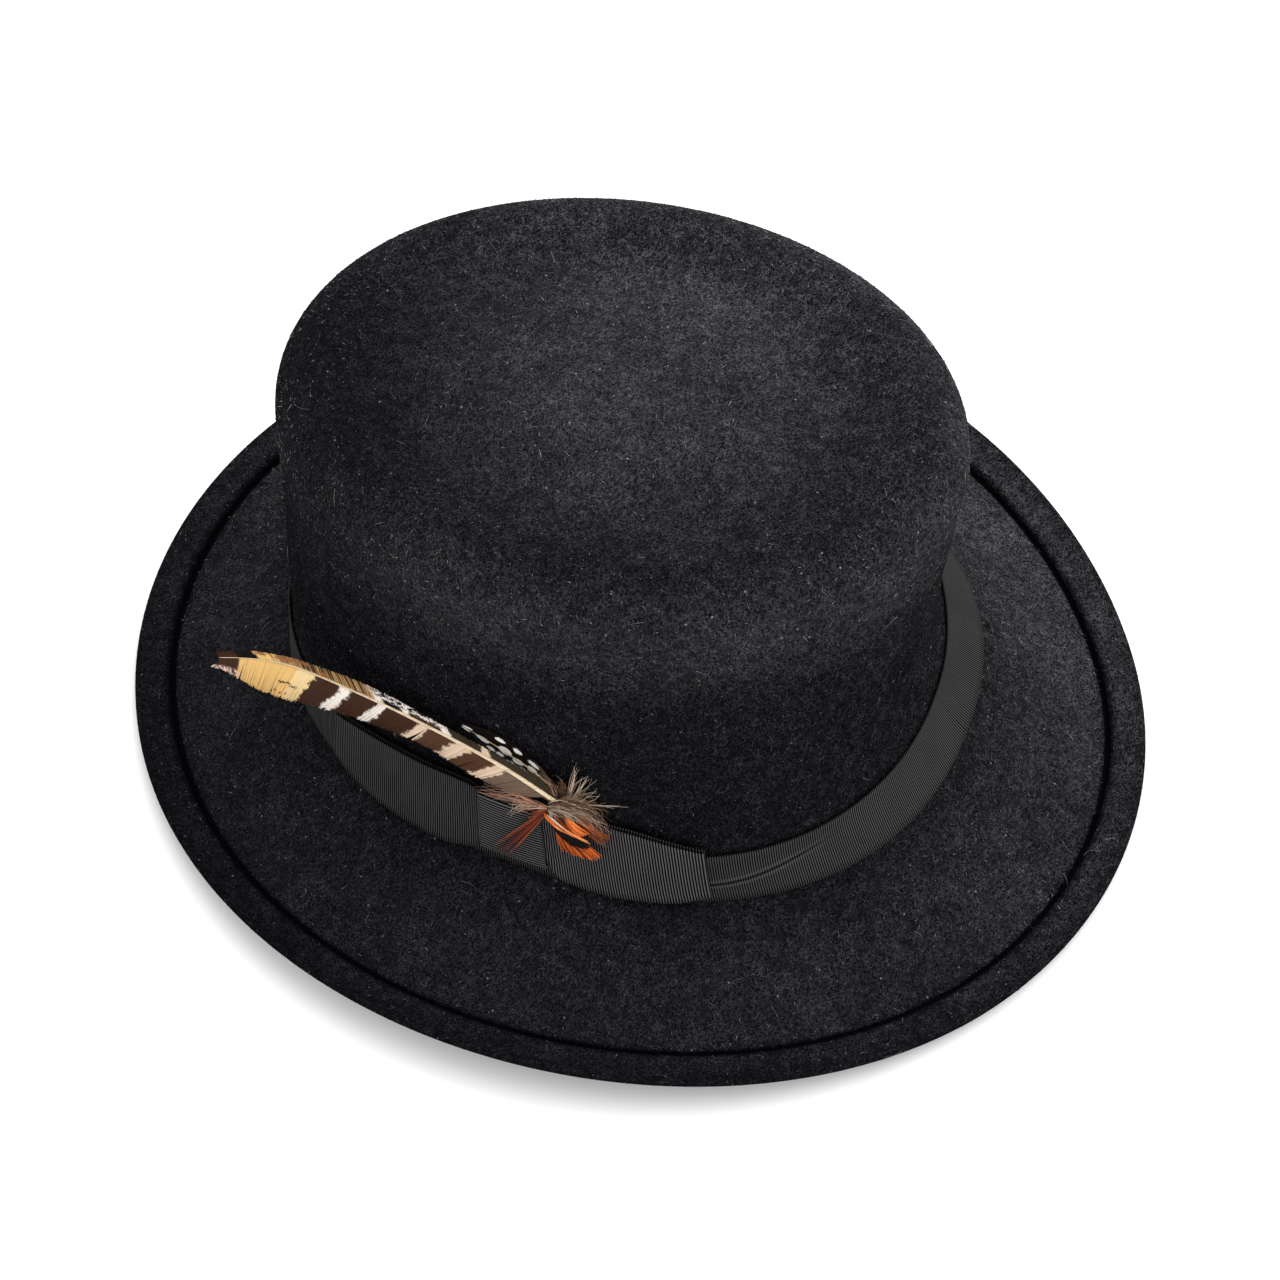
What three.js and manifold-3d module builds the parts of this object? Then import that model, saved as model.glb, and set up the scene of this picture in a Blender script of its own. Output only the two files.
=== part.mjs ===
// Open-crown wool felt hat with a grosgrain band, a flat side bow and a small feather mount.
// Millimetres, +Z up. The wearer's front is +X and the bow is on the -Y side.
// The origin lies on the plane that the hat rests on, below the middle of the brim.
import * as THREE from "three";
import { mergeVertices } from "three/addons/utils/BufferGeometryUtils.js";
import Module from "manifold-3d";

const wasm = await Module();
wasm.setup();

// Brim
const BRIM_LENGTH = 304;
const BRIM_WIDTH = 272;
const BRIM_EGG = -0.018;
const SIDE_LIFT = 6.5;
const SIDE_LIFT_START = 0.5;
const END_CURL = 1.8;
const SIDE_CURL = 4.7;

// Felt wall and its folded edge
const FELT = 2;
const WELT = 10;
const GROOVE_WIDTH = 1;
const GROOVE_DEPTH = 0.6;
const RAW_EDGE = 0.8;
const REST_WIDTH = 5;
const EDGE_TILTS = [60, 20, -20, -60];

// Crown
const BASE_LENGTH = 201;
const BASE_WIDTH = 169;
const BASE_SQUARENESS = 2.28;
const BASE_HEIGHT = 21;
const BASE_PITCH = 2.7;
const TOP_LENGTH = 184;
const TOP_WIDTH = 146;
const TOP_LEAN = 5.5;
const CROWN_HEIGHT = 127;
const CROWN_PITCH = 4.5;
const SHOULDER_RADIUS = 14;
const DENT_DEPTH = 5;
const MIDDLE_DROP = 0.25;
const SHOULDER_SHARES = [1, 0.72, 0.44, 0.2, 0];
const FLARE_ANGLE = 8;
const FLARE_NARROWNESS = 3;

// Ribbon band and bow
const CLEARANCE = 0.35;
const BAND_WIDTH = 16.5;
const BAND_THICKNESS = 1;
const BAND_FOOT = 0.8;
const RIBBON_WIDTH = 28;
const RIBBON_THICKNESS = 0.8;
const LOOP_OPENING = 0.5;
const KNOT_ANGLE = -90;
const KNOT_RUN = 2.3;
const KNOT_WIDTH = 20;
const KNOT_LOW = 0.265;
const KNOT_HIGH = 1.045;
const KNOT_BULGE = 0.2;
const FRONT_LOOP_LENGTH = 51;
const BACK_LOOP_LENGTH = 60;

// Feather mount
const FEATHER_LENGTH = 106;
const FEATHER_WIDTH = 15;
const VANE_THICKNESS = 0.7;
const SHAFT_WIDTH = 1.6;
const VANE_TILT = 25;
const ROOT_RUN = 15.7;
const ROOT_RISE = 40.8;
const ROOT_OUT = 7;
const SPOTTED_LENGTH = 31;
const SPOTTED_DROP = 2.5;
const SPOTTED_SETBACK = 3;
const SPOTTED_WIDTH = 9;
const SPOTTED_SHAFT = 1;
const TUFT_SIZE = 15;
const STRAND_LENGTH = 28;
const STRAND_WIDTH = 1.6;
const FAN_LENGTH = 19;
const FAN_LOCK_WIDTH = 4.6;
const LOCK_THICKNESS = 0.9;

// Fineness of the surfaces
const AROUND = 60;

// Crown top: share of the way from the middle to the rim, and drop as a share of DENT_DEPTH
const TOP_ROWS = [
  { out: 0.2, drop: 0.28 },
  { out: 0.42, drop: 0.4 },
  { out: 0.6, drop: 0.78 },
  { out: 0.74, drop: 1.0 },
  { out: 0.87, drop: 0.62 },
  { out: 0.95, drop: 0.18 },
];

// Crown wall: height as a share of the wall, and how much of the taper is reached there
const WALL_ROWS = [
  { height: 0, front: 0, sides: 0 },
  { height: 0.06, front: 0.42, sides: 0.1 },
  { height: 0.125, front: 0.82, sides: 0.18 },
  { height: 0.175, front: 0.97, sides: 0.23 },
  { height: 0.3, front: 1.08, sides: 0.36 },
  { height: 0.55, front: 1.13, sides: 0.6 },
  { height: 0.8, front: 1.07, sides: 0.85 },
  { height: 1, front: 1, sides: 1 },
];

// Brim top: share of the way from the crown to the groove, and share of the drop to the low line
const BRIM_ROWS = [
  { out: 0.04, drop: 0.09 },
  { out: 0.1, drop: 0.21 },
  { out: 0.2, drop: 0.37 },
  { out: 0.38, drop: 0.6 },
  { out: 0.6, drop: 0.82 },
  { out: 0.83, drop: 0.96 },
];

// Folded edge: share of the welt's width from the groove, and share of the curl there
const WELT_ROWS = [
  { out: 0.45, curl: 0.2 },
  { out: 0.8, curl: 0.75 },
];

// Bow loops outside the knot: share of the way to the fold, and the ribbon's edges as shares of its width
const FRONT_LOOP_ROWS = [
  { along: 0.05, low: 0.15, high: 1.02 },
  { along: 0.16, low: 0.09, high: 1.04 },
  { along: 0.35, low: 0.05, high: 1.03 },
  { along: 0.6, low: 0.05, high: 0.97 },
  { along: 0.8, low: 0.06, high: 0.86 },
  { along: 1, low: 0.13, high: 0.73 },
];
const BACK_LOOP_ROWS = [
  { along: 0.04, low: 0.2, high: 1.05 },
  { along: 0.15, low: 0.09, high: 1.07 },
  { along: 0.36, low: 0.04, high: 1.04 },
  { along: 0.6, low: 0.04, high: 1 },
  { along: 0.8, low: 0.07, high: 0.93 },
  { along: 1, low: 0.17, high: 0.82 },
];
const PINCH = { low: 0.3, high: 1.0 };

// Long feather: where its shaft runs from the root, as shares of its length, and its two vane widths
const FEATHER_ROWS = [
  { run: 0, out: 0, rise: 0, upper: 0.1, lower: 0.1 },
  { run: 0.06, out: -0.002, rise: 0.03, upper: 0.24, lower: 0.36 },
  { run: 0.12, out: -0.007, rise: 0.05, upper: 0.24, lower: 0.49 },
  { run: 0.215, out: -0.014, rise: 0.07, upper: 0.25, lower: 0.53 },
  { run: 0.33, out: -0.027, rise: 0.077, upper: 0.34, lower: 0.46 },
  { run: 0.43, out: -0.041, rise: 0.073, upper: 0.34, lower: 0.5 },
  { run: 0.565, out: -0.058, rise: 0.062, upper: 0.3, lower: 0.6 },
  { run: 0.65, out: -0.068, rise: 0.053, upper: 0.24, lower: 0.69 },
  { run: 0.725, out: -0.075, rise: 0.044, upper: 0.2, lower: 0.76 },
  { run: 0.805, out: -0.079, rise: 0.022, upper: 0.16, lower: 0.78 },
  { run: 0.885, out: -0.081, rise: -0.014, upper: 0.16, lower: 0.6 },
  { run: 0.975, out: -0.081, rise: -0.062, upper: 0.08, lower: 0.15 },
];

// Short spotted feather: run and rise along the crown's wall as shares of its length, and its vane widths
const SPOTTED_ROWS = [
  { run: 0, rise: 0, upper: 0.1, lower: 0.1 },
  { run: 0.18, rise: 0.13, upper: 0.36, lower: 0.36 },
  { run: 0.4, rise: 0.23, upper: 0.5, lower: 0.46 },
  { run: 0.65, rise: 0.31, upper: 0.44, lower: 0.4 },
  { run: 0.94, rise: 0.38, upper: 0.16, lower: 0.14 },
];

// Down tuft: where each lock ends, measured from the head in shares of TUFT_SIZE, and its width likewise
const TUFT_LOCKS = [
  { run: 0.98, rise: 0.22, out: 0.02, width: 0.2 },
  { run: 0.86, rise: -0.2, out: 0.06, width: 0.22 },
  { run: 0.74, rise: 0.58, out: -0.02, width: 0.22 },
  { run: 0.4, rise: 0.84, out: -0.02, width: 0.2 },
  { run: 0.0, rise: 0.76, out: -0.03, width: 0.18 },
];

// Rust strands and orange fan: where each lock ends, as shares of their own lengths
const STRAND_TIPS = [
  { run: -0.6, fall: 0.84 },
  { run: -0.52, fall: 0.92 },
  { run: -0.42, fall: 0.98 },
];
const FAN_TIPS = [
  { run: -0.36, fall: 0.84 },
  { run: -0.18, fall: 1 },
  { run: 0.02, fall: 0.98 },
  { run: 0.2, fall: 0.8 },
];

const DEGREE = Math.PI / 180;
const TURN = 2 * Math.PI;
const vec = (x, y, z) => new THREE.Vector3(x, y, z);
const mix = (a, b, share) => a + (b - a) * share;
const signedPower = (value, power) => Math.sign(value) * Math.abs(value) ** power;

function fromRows(rows, key, at, column) {
  let low = rows[0];
  for (const high of rows) {
    if (at <= high[key]) {
      const span = high[key] - low[key];
      return span > 0 ? mix(low[column], high[column], (at - low[key]) / span) : high[column];
    }
    low = high;
  }
  return low[column];
}

// The ovals of the hat, one point for each angle around it
function brimEdge(angle) {
  const along = Math.cos(angle);
  return vec((BRIM_LENGTH / 2) * along, (BRIM_WIDTH / 2) * Math.sin(angle) * (1 + BRIM_EGG * along), 0);
}

function crownBase(angle) {
  const power = 2 / BASE_SQUARENESS;
  const x = (BASE_LENGTH / 2) * signedPower(Math.cos(angle), power);
  const y = (BASE_WIDTH / 2) * signedPower(Math.sin(angle), power);
  return vec(x, y, BASE_HEIGHT + BASE_PITCH * Math.cos(angle));
}

function shoulderCentre(angle) {
  const x = (TOP_LENGTH / 2 - SHOULDER_RADIUS) * Math.cos(angle) - TOP_LEAN;
  const y = (TOP_WIDTH / 2 - SHOULDER_RADIUS) * Math.sin(angle);
  return vec(x, y, CROWN_HEIGHT + CROWN_PITCH * Math.cos(angle) - SHOULDER_RADIUS);
}

function shoulderOut(angle) {
  return vec(Math.cos(angle) / TOP_LENGTH, Math.sin(angle) / TOP_WIDTH, 0).normalize();
}

function shoulderPoint(angle, tilt) {
  const point = shoulderCentre(angle).addScaledVector(shoulderOut(angle), SHOULDER_RADIUS * Math.cos(tilt));
  point.z += SHOULDER_RADIUS * Math.sin(tilt);
  return point;
}

// A point on the outside of the crown wall at a height above the foot of the band
function wallPoint(angle, height) {
  const foot = crownBase(angle);
  const head = shoulderPoint(angle, 0);
  const share = height / (head.z - foot.z);
  const frontShare = Math.max(0, Math.cos(angle - FLARE_ANGLE * DEGREE)) ** FLARE_NARROWNESS;
  const front = fromRows(WALL_ROWS, "height", share, "front");
  const sides = fromRows(WALL_ROWS, "height", share, "sides");
  const taper = mix(sides, front, frontShare);
  return vec(mix(foot.x, head.x, taper), mix(foot.y, head.y, taper), foot.z + height);
}

function wallHeight(angle) {
  return shoulderPoint(angle, 0).z - crownBase(angle).z;
}

function wallNormal(angle, height) {
  const step = 0.01;
  const around = wallPoint(angle + step, height).sub(wallPoint(angle - step, height));
  const up = wallPoint(angle, height + 1).sub(wallPoint(angle, height));
  return around.cross(up).normalize();
}

function offWall(angle, height, out) {
  return wallPoint(angle, height).addScaledVector(wallNormal(angle, height), out);
}

// The angle of the wall where the crown's base has this distance along X from the knot
function angleAt(run) {
  const share = (run + KNOT_RUN) / (BASE_LENGTH / 2);
  return KNOT_ANGLE * DEGREE + Math.asin(signedPower(share, BASE_SQUARENESS / 2));
}

// The low line of the brim's underside, flat at the front and back where the hat rests
function lowLine(angle) {
  const side = Math.max(0, Math.abs(Math.sin(angle)) - SIDE_LIFT_START) / (1 - SIDE_LIFT_START);
  return SIDE_LIFT * side ** 1.5;
}

function curl(angle) {
  return mix(END_CURL, SIDE_CURL, Math.sin(angle) ** 2);
}

// A point of the brim, measured in from its edge towards the crown
function brimPoint(angle, inFromEdge, height) {
  const edge = brimEdge(angle);
  const foot = crownBase(angle).setZ(0);
  const width = edge.distanceTo(foot);
  return edge.lerp(foot, inFromEdge / width).setZ(height);
}

function brimSpan(angle) {
  return brimEdge(angle).distanceTo(crownBase(angle).setZ(0));
}

// The outer skin of the felt, ring by ring from the middle of the top to the nose of the edge
function outerRings() {
  const rings = [];
  const quarter = Math.PI / 2;
  for (const row of TOP_ROWS) {
    rings.push((angle) => {
      const rim = shoulderPoint(angle, quarter);
      const x = mix(-TOP_LEAN, rim.x, row.out);
      const z = CROWN_HEIGHT + CROWN_PITCH * Math.cos(angle) * row.out - DENT_DEPTH * row.drop;
      return vec(x, rim.y * row.out, z);
    });
  }
  for (const share of SHOULDER_SHARES) {
    rings.push((angle) => shoulderPoint(angle, quarter * share));
  }
  for (const row of WALL_ROWS.slice(0, -1).reverse()) {
    rings.push((angle) => wallPoint(angle, wallHeight(angle) * row.height));
  }
  for (const row of BRIM_ROWS) {
    rings.push((angle) => {
      const span = brimSpan(angle) - WELT - GROOVE_WIDTH;
      const from = crownBase(angle).z;
      return brimPoint(angle, brimSpan(angle) - span * row.out, mix(from, lowLine(angle) + FELT, row.drop));
    });
  }
  rings.push((angle) => brimPoint(angle, WELT + GROOVE_WIDTH, lowLine(angle) + FELT));
  rings.push((angle) => brimPoint(angle, WELT + GROOVE_WIDTH / 2, lowLine(angle) + FELT - GROOVE_DEPTH));
  rings.push((angle) => brimPoint(angle, WELT, lowLine(angle) + 2 * FELT - RAW_EDGE));
  rings.push((angle) => brimPoint(angle, WELT - RAW_EDGE, lowLine(angle) + 2 * FELT));
  for (const row of WELT_ROWS) {
    const height = (angle) => lowLine(angle) + 2 * FELT + curl(angle) * row.curl;
    rings.push((angle) => brimPoint(angle, WELT * (1 - row.out), height(angle)));
  }
  return rings;
}

// The nose of the folded edge and the underside, from the edge in to the flat that the hat rests on
function edgeRings() {
  const rings = [];
  for (const tilt of EDGE_TILTS) {
    const inward = FELT * (1 - Math.cos(tilt * DEGREE));
    const up = FELT * Math.sin(tilt * DEGREE);
    rings.push((angle) => brimPoint(angle, inward, lowLine(angle) + FELT + curl(angle) + up));
  }
  for (const row of [...WELT_ROWS].reverse()) {
    rings.push((angle) => brimPoint(angle, WELT * (1 - row.out), lowLine(angle) + curl(angle) * row.curl));
  }
  rings.push((angle) => brimPoint(angle, WELT, lowLine(angle)));
  rings.push((angle) => brimPoint(angle, WELT + REST_WIDTH, lowLine(angle)));
  return rings;
}

function ringNormals(grid, i) {
  const count = grid[i].length;
  return grid[i].map((point, j) => {
    const along = grid[i + 1][j].clone().sub(grid[i - 1][j]);
    const around = grid[i][(j + 1) % count].clone().sub(grid[i][(j + count - 1) % count]);
    return along.cross(around).normalize();
  });
}

function geometryOf(points, faces) {
  const geometry = new THREE.BufferGeometry();
  const flat = points.flatMap((point) => [point.x, point.y, point.z]);
  geometry.setAttribute("position", new THREE.Float32BufferAttribute(flat, 3));
  geometry.setIndex(faces);
  geometry.computeVertexNormals();
  return geometry;
}

function feltGeometry() {
  const angles = Array.from({ length: AROUND }, (_, j) => (TURN * j) / AROUND);
  const outer = outerRings().map((ring) => angles.map(ring));
  const edge = edgeRings().map((ring) => angles.map(ring));
  const inner = [];
  const brimStart = TOP_ROWS.length + SHOULDER_SHARES.length + WALL_ROWS.length - 1;
  const lastOffset = brimStart + BRIM_ROWS.length - 3;
  for (let i = lastOffset; i > 0; i -= 1) {
    const normals = ringNormals(outer, i);
    inner.push(outer[i].map((point, j) => point.clone().addScaledVector(normals[j], -FELT)));
  }
  const rings = [...outer, ...edge, ...inner];
  const middle = vec(-TOP_LEAN, 0, CROWN_HEIGHT - MIDDLE_DROP * DENT_DEPTH);
  const points = [middle, middle.clone().setZ(middle.z - FELT)];
  const start = rings.map((ring) => {
    points.push(...ring);
    return points.length - ring.length;
  });
  const faces = [];
  const last = rings.length - 1;
  for (let j = 0; j < AROUND; j += 1) {
    const next = (j + 1) % AROUND;
    faces.push(0, start[0] + j, start[0] + next);
    for (let i = 0; i < last; i += 1) {
      faces.push(start[i] + j, start[i + 1] + j, start[i + 1] + next);
      faces.push(start[i] + j, start[i + 1] + next, start[i] + next);
    }
    faces.push(start[last] + j, 1, start[last] + next);
  }
  return geometryOf(points, faces);
}

// A closed solid between two skins: at(i, j) gives the front and the back point of each place
function sheetGeometry(rows, columns, at, closedRound = false) {
  const points = [];
  for (let i = 0; i < rows; i += 1) {
    for (let j = 0; j < columns; j += 1) {
      points.push(...at(i, j));
    }
  }
  const front = (i, j) => 2 * ((i % rows) * columns + j);
  const back = (i, j) => front(i, j) + 1;
  const faces = [];
  const quad = (a, b, c, d) => faces.push(a, b, c, a, c, d);
  const steps = closedRound ? rows : rows - 1;
  for (let i = 0; i < steps; i += 1) {
    for (let j = 0; j < columns - 1; j += 1) {
      quad(front(i, j), front(i + 1, j), front(i + 1, j + 1), front(i, j + 1));
      quad(back(i, j), back(i, j + 1), back(i + 1, j + 1), back(i + 1, j));
    }
    const end = columns - 1;
    quad(front(i, 0), back(i, 0), back(i + 1, 0), front(i + 1, 0));
    quad(front(i, end), front(i + 1, end), back(i + 1, end), back(i, end));
  }
  for (let j = 0; j < columns - 1 && !closedRound; j += 1) {
    const end = rows - 1;
    quad(front(0, j), front(0, j + 1), back(0, j + 1), back(0, j));
    quad(front(end, j), back(end, j), back(end, j + 1), front(end, j + 1));
  }
  return geometryOf(points, faces);
}

// The height at which ribbon laid up the wall from the band's foot has its full width
function bandTop(angle) {
  let height = BAND_WIDTH;
  for (let pass = 0; pass < 4; pass += 1) {
    const reach = wallPoint(angle, height).distanceTo(wallPoint(angle, BAND_FOOT));
    height = mix(BAND_FOOT, height, BAND_WIDTH / reach);
  }
  return height;
}

function bandGeometry() {
  const rows = 4;
  const at = (i, j) => {
    const angle = (TURN * i) / AROUND;
    const height = mix(BAND_FOOT, bandTop(angle), j / (rows - 1));
    return [
      offWall(angle, height, CLEARANCE + BAND_THICKNESS),
      offWall(angle, height, CLEARANCE),
    ];
  };
  return sheetGeometry(AROUND, rows, at, true);
}

const BOW_BACK = 2 * CLEARANCE + BAND_THICKNESS;
const LOOP_DEPTH = 2 * RIBBON_THICKNESS + LOOP_OPENING;
const KNOT_BACK = BOW_BACK + LOOP_DEPTH + CLEARANCE;

// One loop of the bow: ribbon laid out from the knot to its fold, and back over itself
function loopGeometry(rows, length, side) {
  const knotHalf = KNOT_WIDTH / 2;
  const bend = (LOOP_OPENING + RIBBON_THICKNESS) / 2;
  const outward = [CLEARANCE, knotHalf, ...rows.map((row) => mix(knotHalf, length, row.along))];
  const edges = (run) => {
    const share = (run - knotHalf) / (length - knotHalf);
    if (share <= 0) {
      return PINCH;
    }
    const table = [{ along: 0, ...PINCH }, ...rows];
    return {
      low: fromRows(table, "along", share, "low"),
      high: fromRows(table, "along", share, "high"),
    };
  };
  const stations = outward.map((run) => ({ run, tilt: -90 }));
  for (const tilt of [-45, 0, 45]) {
    stations.push({ run: length, tilt });
  }
  stations.push(...outward.map((run) => ({ run, tilt: 90 })).reverse());
  const middle = BOW_BACK + LOOP_DEPTH / 2;
  const at = (i, j) => {
    const { run, tilt } = stations[i];
    const out = Math.sin(tilt * DEGREE);
    const past = Math.cos(tilt * DEGREE);
    const { low, high } = edges(run);
    const height = mix(low, high, j / 2) * RIBBON_WIDTH;
    const skins = [];
    for (const half of [RIBBON_THICKNESS / 2, -RIBBON_THICKNESS / 2]) {
      const angle = angleAt(side * (run + (bend + half) * past));
      skins.push(offWall(angle, height, middle + (bend + half) * out));
    }
    return side > 0 ? skins.reverse() : skins;
  };
  return sheetGeometry(stations.length, 3, at);
}

// The knot: ribbon wrapped over the middle of the bow, with its two ends turned in to the hat
function knotGeometry() {
  const low = KNOT_LOW * RIBBON_WIDTH;
  const high = KNOT_HIGH * RIBBON_WIDTH;
  const middle = (low + high) / 2;
  const thick = RIBBON_THICKNESS;
  const stations = [
    { front: [low - thick, BOW_BACK], back: [low, BOW_BACK] },
    { front: [low - thick, KNOT_BACK], back: [low, KNOT_BACK] },
    { front: [low, KNOT_BACK + thick], back: [low + thick / 2, KNOT_BACK] },
    { front: [middle, KNOT_BACK + thick + KNOT_BULGE], back: [middle, KNOT_BACK + KNOT_BULGE] },
    { front: [high - thick, KNOT_BACK + thick], back: [high - thick * 1.5, KNOT_BACK] },
    { front: [high, KNOT_BACK], back: [high - thick, KNOT_BACK] },
    { front: [high, CLEARANCE], back: [high - thick, CLEARANCE] },
  ];
  const columns = 5;
  return sheetGeometry(columns, stations.length, (i, j) => {
    const run = mix(-KNOT_WIDTH / 2, KNOT_WIDTH / 2, i / (columns - 1));
    const station = stations[j];
    return [
      offWall(angleAt(run), station.front[0], station.front[1]),
      offWall(angleAt(run), station.back[0], station.back[1]),
    ];
  });
}

// A feather along a line of centres: a thin vane on both sides of a shaft that stands proud of it
function featherGeometry(rows, centres, face, width, shaft) {
  const shares = [1, 0.55, 0.12, 0, -0.12, -0.55, -1];
  return sheetGeometry(rows.length, shares.length, (i, j) => {
    const ahead = centres[Math.min(i + 1, rows.length - 1)];
    const along = ahead.clone().sub(centres[Math.max(i - 1, 0)]).normalize();
    const across = along.clone().cross(face).normalize();
    const normal = across.clone().cross(along).normalize();
    const share = shares[j];
    const reach = share < 0 ? rows[i].lower : rows[i].upper;
    const inner = Math.abs(share) < 0.2;
    const distance = inner ? Math.sign(share) * shaft * 0.5 : share * reach * width;
    const camber = -0.1 * reach * width * share * share;
    const middle = centres[i].clone().addScaledVector(across, distance).addScaledVector(normal, camber);
    const half = VANE_THICKNESS / 2;
    const ridge = share === 0 ? shaft * 0.6 : 0;
    return [
      middle.clone().addScaledVector(normal, half + ridge),
      middle.clone().addScaledVector(normal, -half),
    ];
  });
}

// A solid of the joining library from a closed geometry, and the way back
function solidOf(geometry) {
  const bare = geometry.clone();
  bare.deleteAttribute("normal");
  bare.deleteAttribute("uv");
  const merged = mergeVertices(bare, 1e-4);
  return new wasm.Manifold(
    new wasm.Mesh({
      numProp: 3,
      vertProperties: Float32Array.from(merged.attributes.position.array),
      triVerts: Uint32Array.from(merged.index.array),
    }),
  );
}

function fused(geometries) {
  const solids = geometries.map(solidOf);
  const joined = solids.slice(1).reduce((body, solid) => body.add(solid), solids[0]);
  const mesh = joined.getMesh();
  const geometry = new THREE.BufferGeometry();
  geometry.setAttribute("position", new THREE.Float32BufferAttribute(mesh.vertProperties, 3));
  geometry.setIndex(Array.from(mesh.triVerts));
  geometry.computeVertexNormals();
  return geometry;
}

// A tapered lock of feather from a point to a tip, with a bow along its length
function lockGeometry(from, to, width, bulge) {
  const shares = [
    { at: 0, wide: 0.75 },
    { at: 0.35, wide: 1 },
    { at: 0.7, wide: 0.8 },
    { at: 1, wide: 0.25 },
  ];
  const along = to.clone().sub(from).normalize();
  const across = along.clone().cross(vec(0, -1, 0)).normalize();
  const normal = across.clone().cross(along).normalize();
  if (normal.y > 0) {
    normal.negate();
    across.negate();
  }
  return sheetGeometry(shares.length, 2, (i, j) => {
    const { at, wide } = shares[i];
    const middle = from.clone().lerp(to, at).addScaledVector(normal, bulge * Math.sin(Math.PI * at));
    middle.addScaledVector(across, (0.5 - j) * width * wide);
    return [
      middle.clone().addScaledVector(normal, LOCK_THICKNESS / 2),
      middle.clone().addScaledVector(normal, -LOCK_THICKNESS / 2),
    ];
  });
}

function headGeometry(centre, length, height, depth) {
  const head = new THREE.SphereGeometry(0.5, 12, 6);
  head.scale(length, depth, height);
  head.translate(centre.x, centre.y, centre.z);
  return head;
}

// A point beside the crown: along it from the middle of the knot, above the band's foot and out from the wall
function beside(run, height, out) {
  return offWall(angleAt(run), height, out);
}

function barredFeather() {
  const tilt = VANE_TILT * DEGREE;
  const root = beside(ROOT_RUN, ROOT_RISE, ROOT_OUT);
  const centres = FEATHER_ROWS.map((row) => {
    return root.clone().add(vec(-row.run, -row.out, row.rise).multiplyScalar(FEATHER_LENGTH));
  });
  const face = vec(0, -Math.cos(tilt), Math.sin(tilt));
  return featherGeometry(FEATHER_ROWS, centres, face, FEATHER_WIDTH, SHAFT_WIDTH);
}

const SPOTTED_OUT = CLEARANCE + VANE_THICKNESS;

function spottedFeather() {
  const start = ROOT_RISE - SPOTTED_DROP;
  const centres = SPOTTED_ROWS.map((row) => {
    const run = ROOT_RUN - SPOTTED_SETBACK - row.run * SPOTTED_LENGTH;
    return beside(run, start + row.rise * SPOTTED_LENGTH, SPOTTED_OUT);
  });
  const face = wallNormal(angleAt(0), start);
  return featherGeometry(SPOTTED_ROWS, centres, face, SPOTTED_WIDTH, SPOTTED_SHAFT);
}

// The tuft's head sits over the roots of the feathers, with its locks spread forwards and up
const HEAD = { length: TUFT_SIZE * 0.7, height: TUFT_SIZE * 0.6, depth: TUFT_SIZE * 0.28 };
const HEAD_RUN = ROOT_RUN + CLEARANCE + HEAD.length / 2;
const HEAD_RISE = ROOT_RISE - CLEARANCE;
const HEAD_OUT = SPOTTED_OUT + VANE_THICKNESS + SPOTTED_SHAFT + HEAD.depth / 2;

function downTuft() {
  const centre = beside(HEAD_RUN, HEAD_RISE, HEAD_OUT);
  const locks = TUFT_LOCKS.map((lock) => {
    const run = HEAD_RUN + lock.run * TUFT_SIZE;
    const tip = beside(run, HEAD_RISE + lock.rise * TUFT_SIZE, HEAD_OUT + lock.out * TUFT_SIZE);
    return lockGeometry(centre, tip, lock.width * TUFT_SIZE, 0);
  });
  return fused([headGeometry(centre, HEAD.length, HEAD.height, HEAD.depth), ...locks]);
}

const LOCK_HEAD_DEPTH = 1.5 * LOCK_THICKNESS;
const STRANDS_OUT = KNOT_BACK + KNOT_BULGE + RIBBON_THICKNESS + CLEARANCE + LOCK_HEAD_DEPTH / 2;
const FAN_OUT = BOW_BACK + LOOP_DEPTH + CLEARANCE + LOCK_HEAD_DEPTH / 2;

function rustStrands() {
  const run = ROOT_RUN - STRAND_WIDTH;
  const rise = ROOT_RISE - 3 * STRAND_WIDTH;
  const centre = beside(run, rise, STRANDS_OUT);
  const strands = STRAND_TIPS.map((strand) => {
    const tip = beside(run + strand.run * STRAND_LENGTH, rise - strand.fall * STRAND_LENGTH, STRANDS_OUT);
    return lockGeometry(centre, tip, STRAND_WIDTH, 0);
  });
  return fused([headGeometry(centre, 2 * STRAND_WIDTH, 2 * STRAND_WIDTH, LOCK_HEAD_DEPTH), ...strands]);
}

function orangeFan() {
  const rise = HEAD_RISE - HEAD.height / 2 - CLEARANCE - FAN_LOCK_WIDTH / 2;
  const centre = beside(HEAD_RUN, rise, FAN_OUT);
  const locks = FAN_TIPS.map((lock) => {
    const tip = beside(HEAD_RUN + lock.run * FAN_LENGTH, rise - lock.fall * FAN_LENGTH, FAN_OUT);
    return lockGeometry(centre, tip, FAN_LOCK_WIDTH, 0);
  });
  return fused([headGeometry(centre, FAN_LOCK_WIDTH, FAN_LOCK_WIDTH, LOCK_HEAD_DEPTH), ...locks]);
}

function matte(color, roughness) {
  return new THREE.MeshStandardMaterial({ color, roughness, metalness: 0 });
}

const FELT_COLOR = 0x0e0e11;
const RIBBON_COLOR = 0x17171a;
const hat = new THREE.Group();

function addPiece(name, geometry, material) {
  const mesh = new THREE.Mesh(geometry, material);
  mesh.name = name;
  hat.add(mesh);
}

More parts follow.
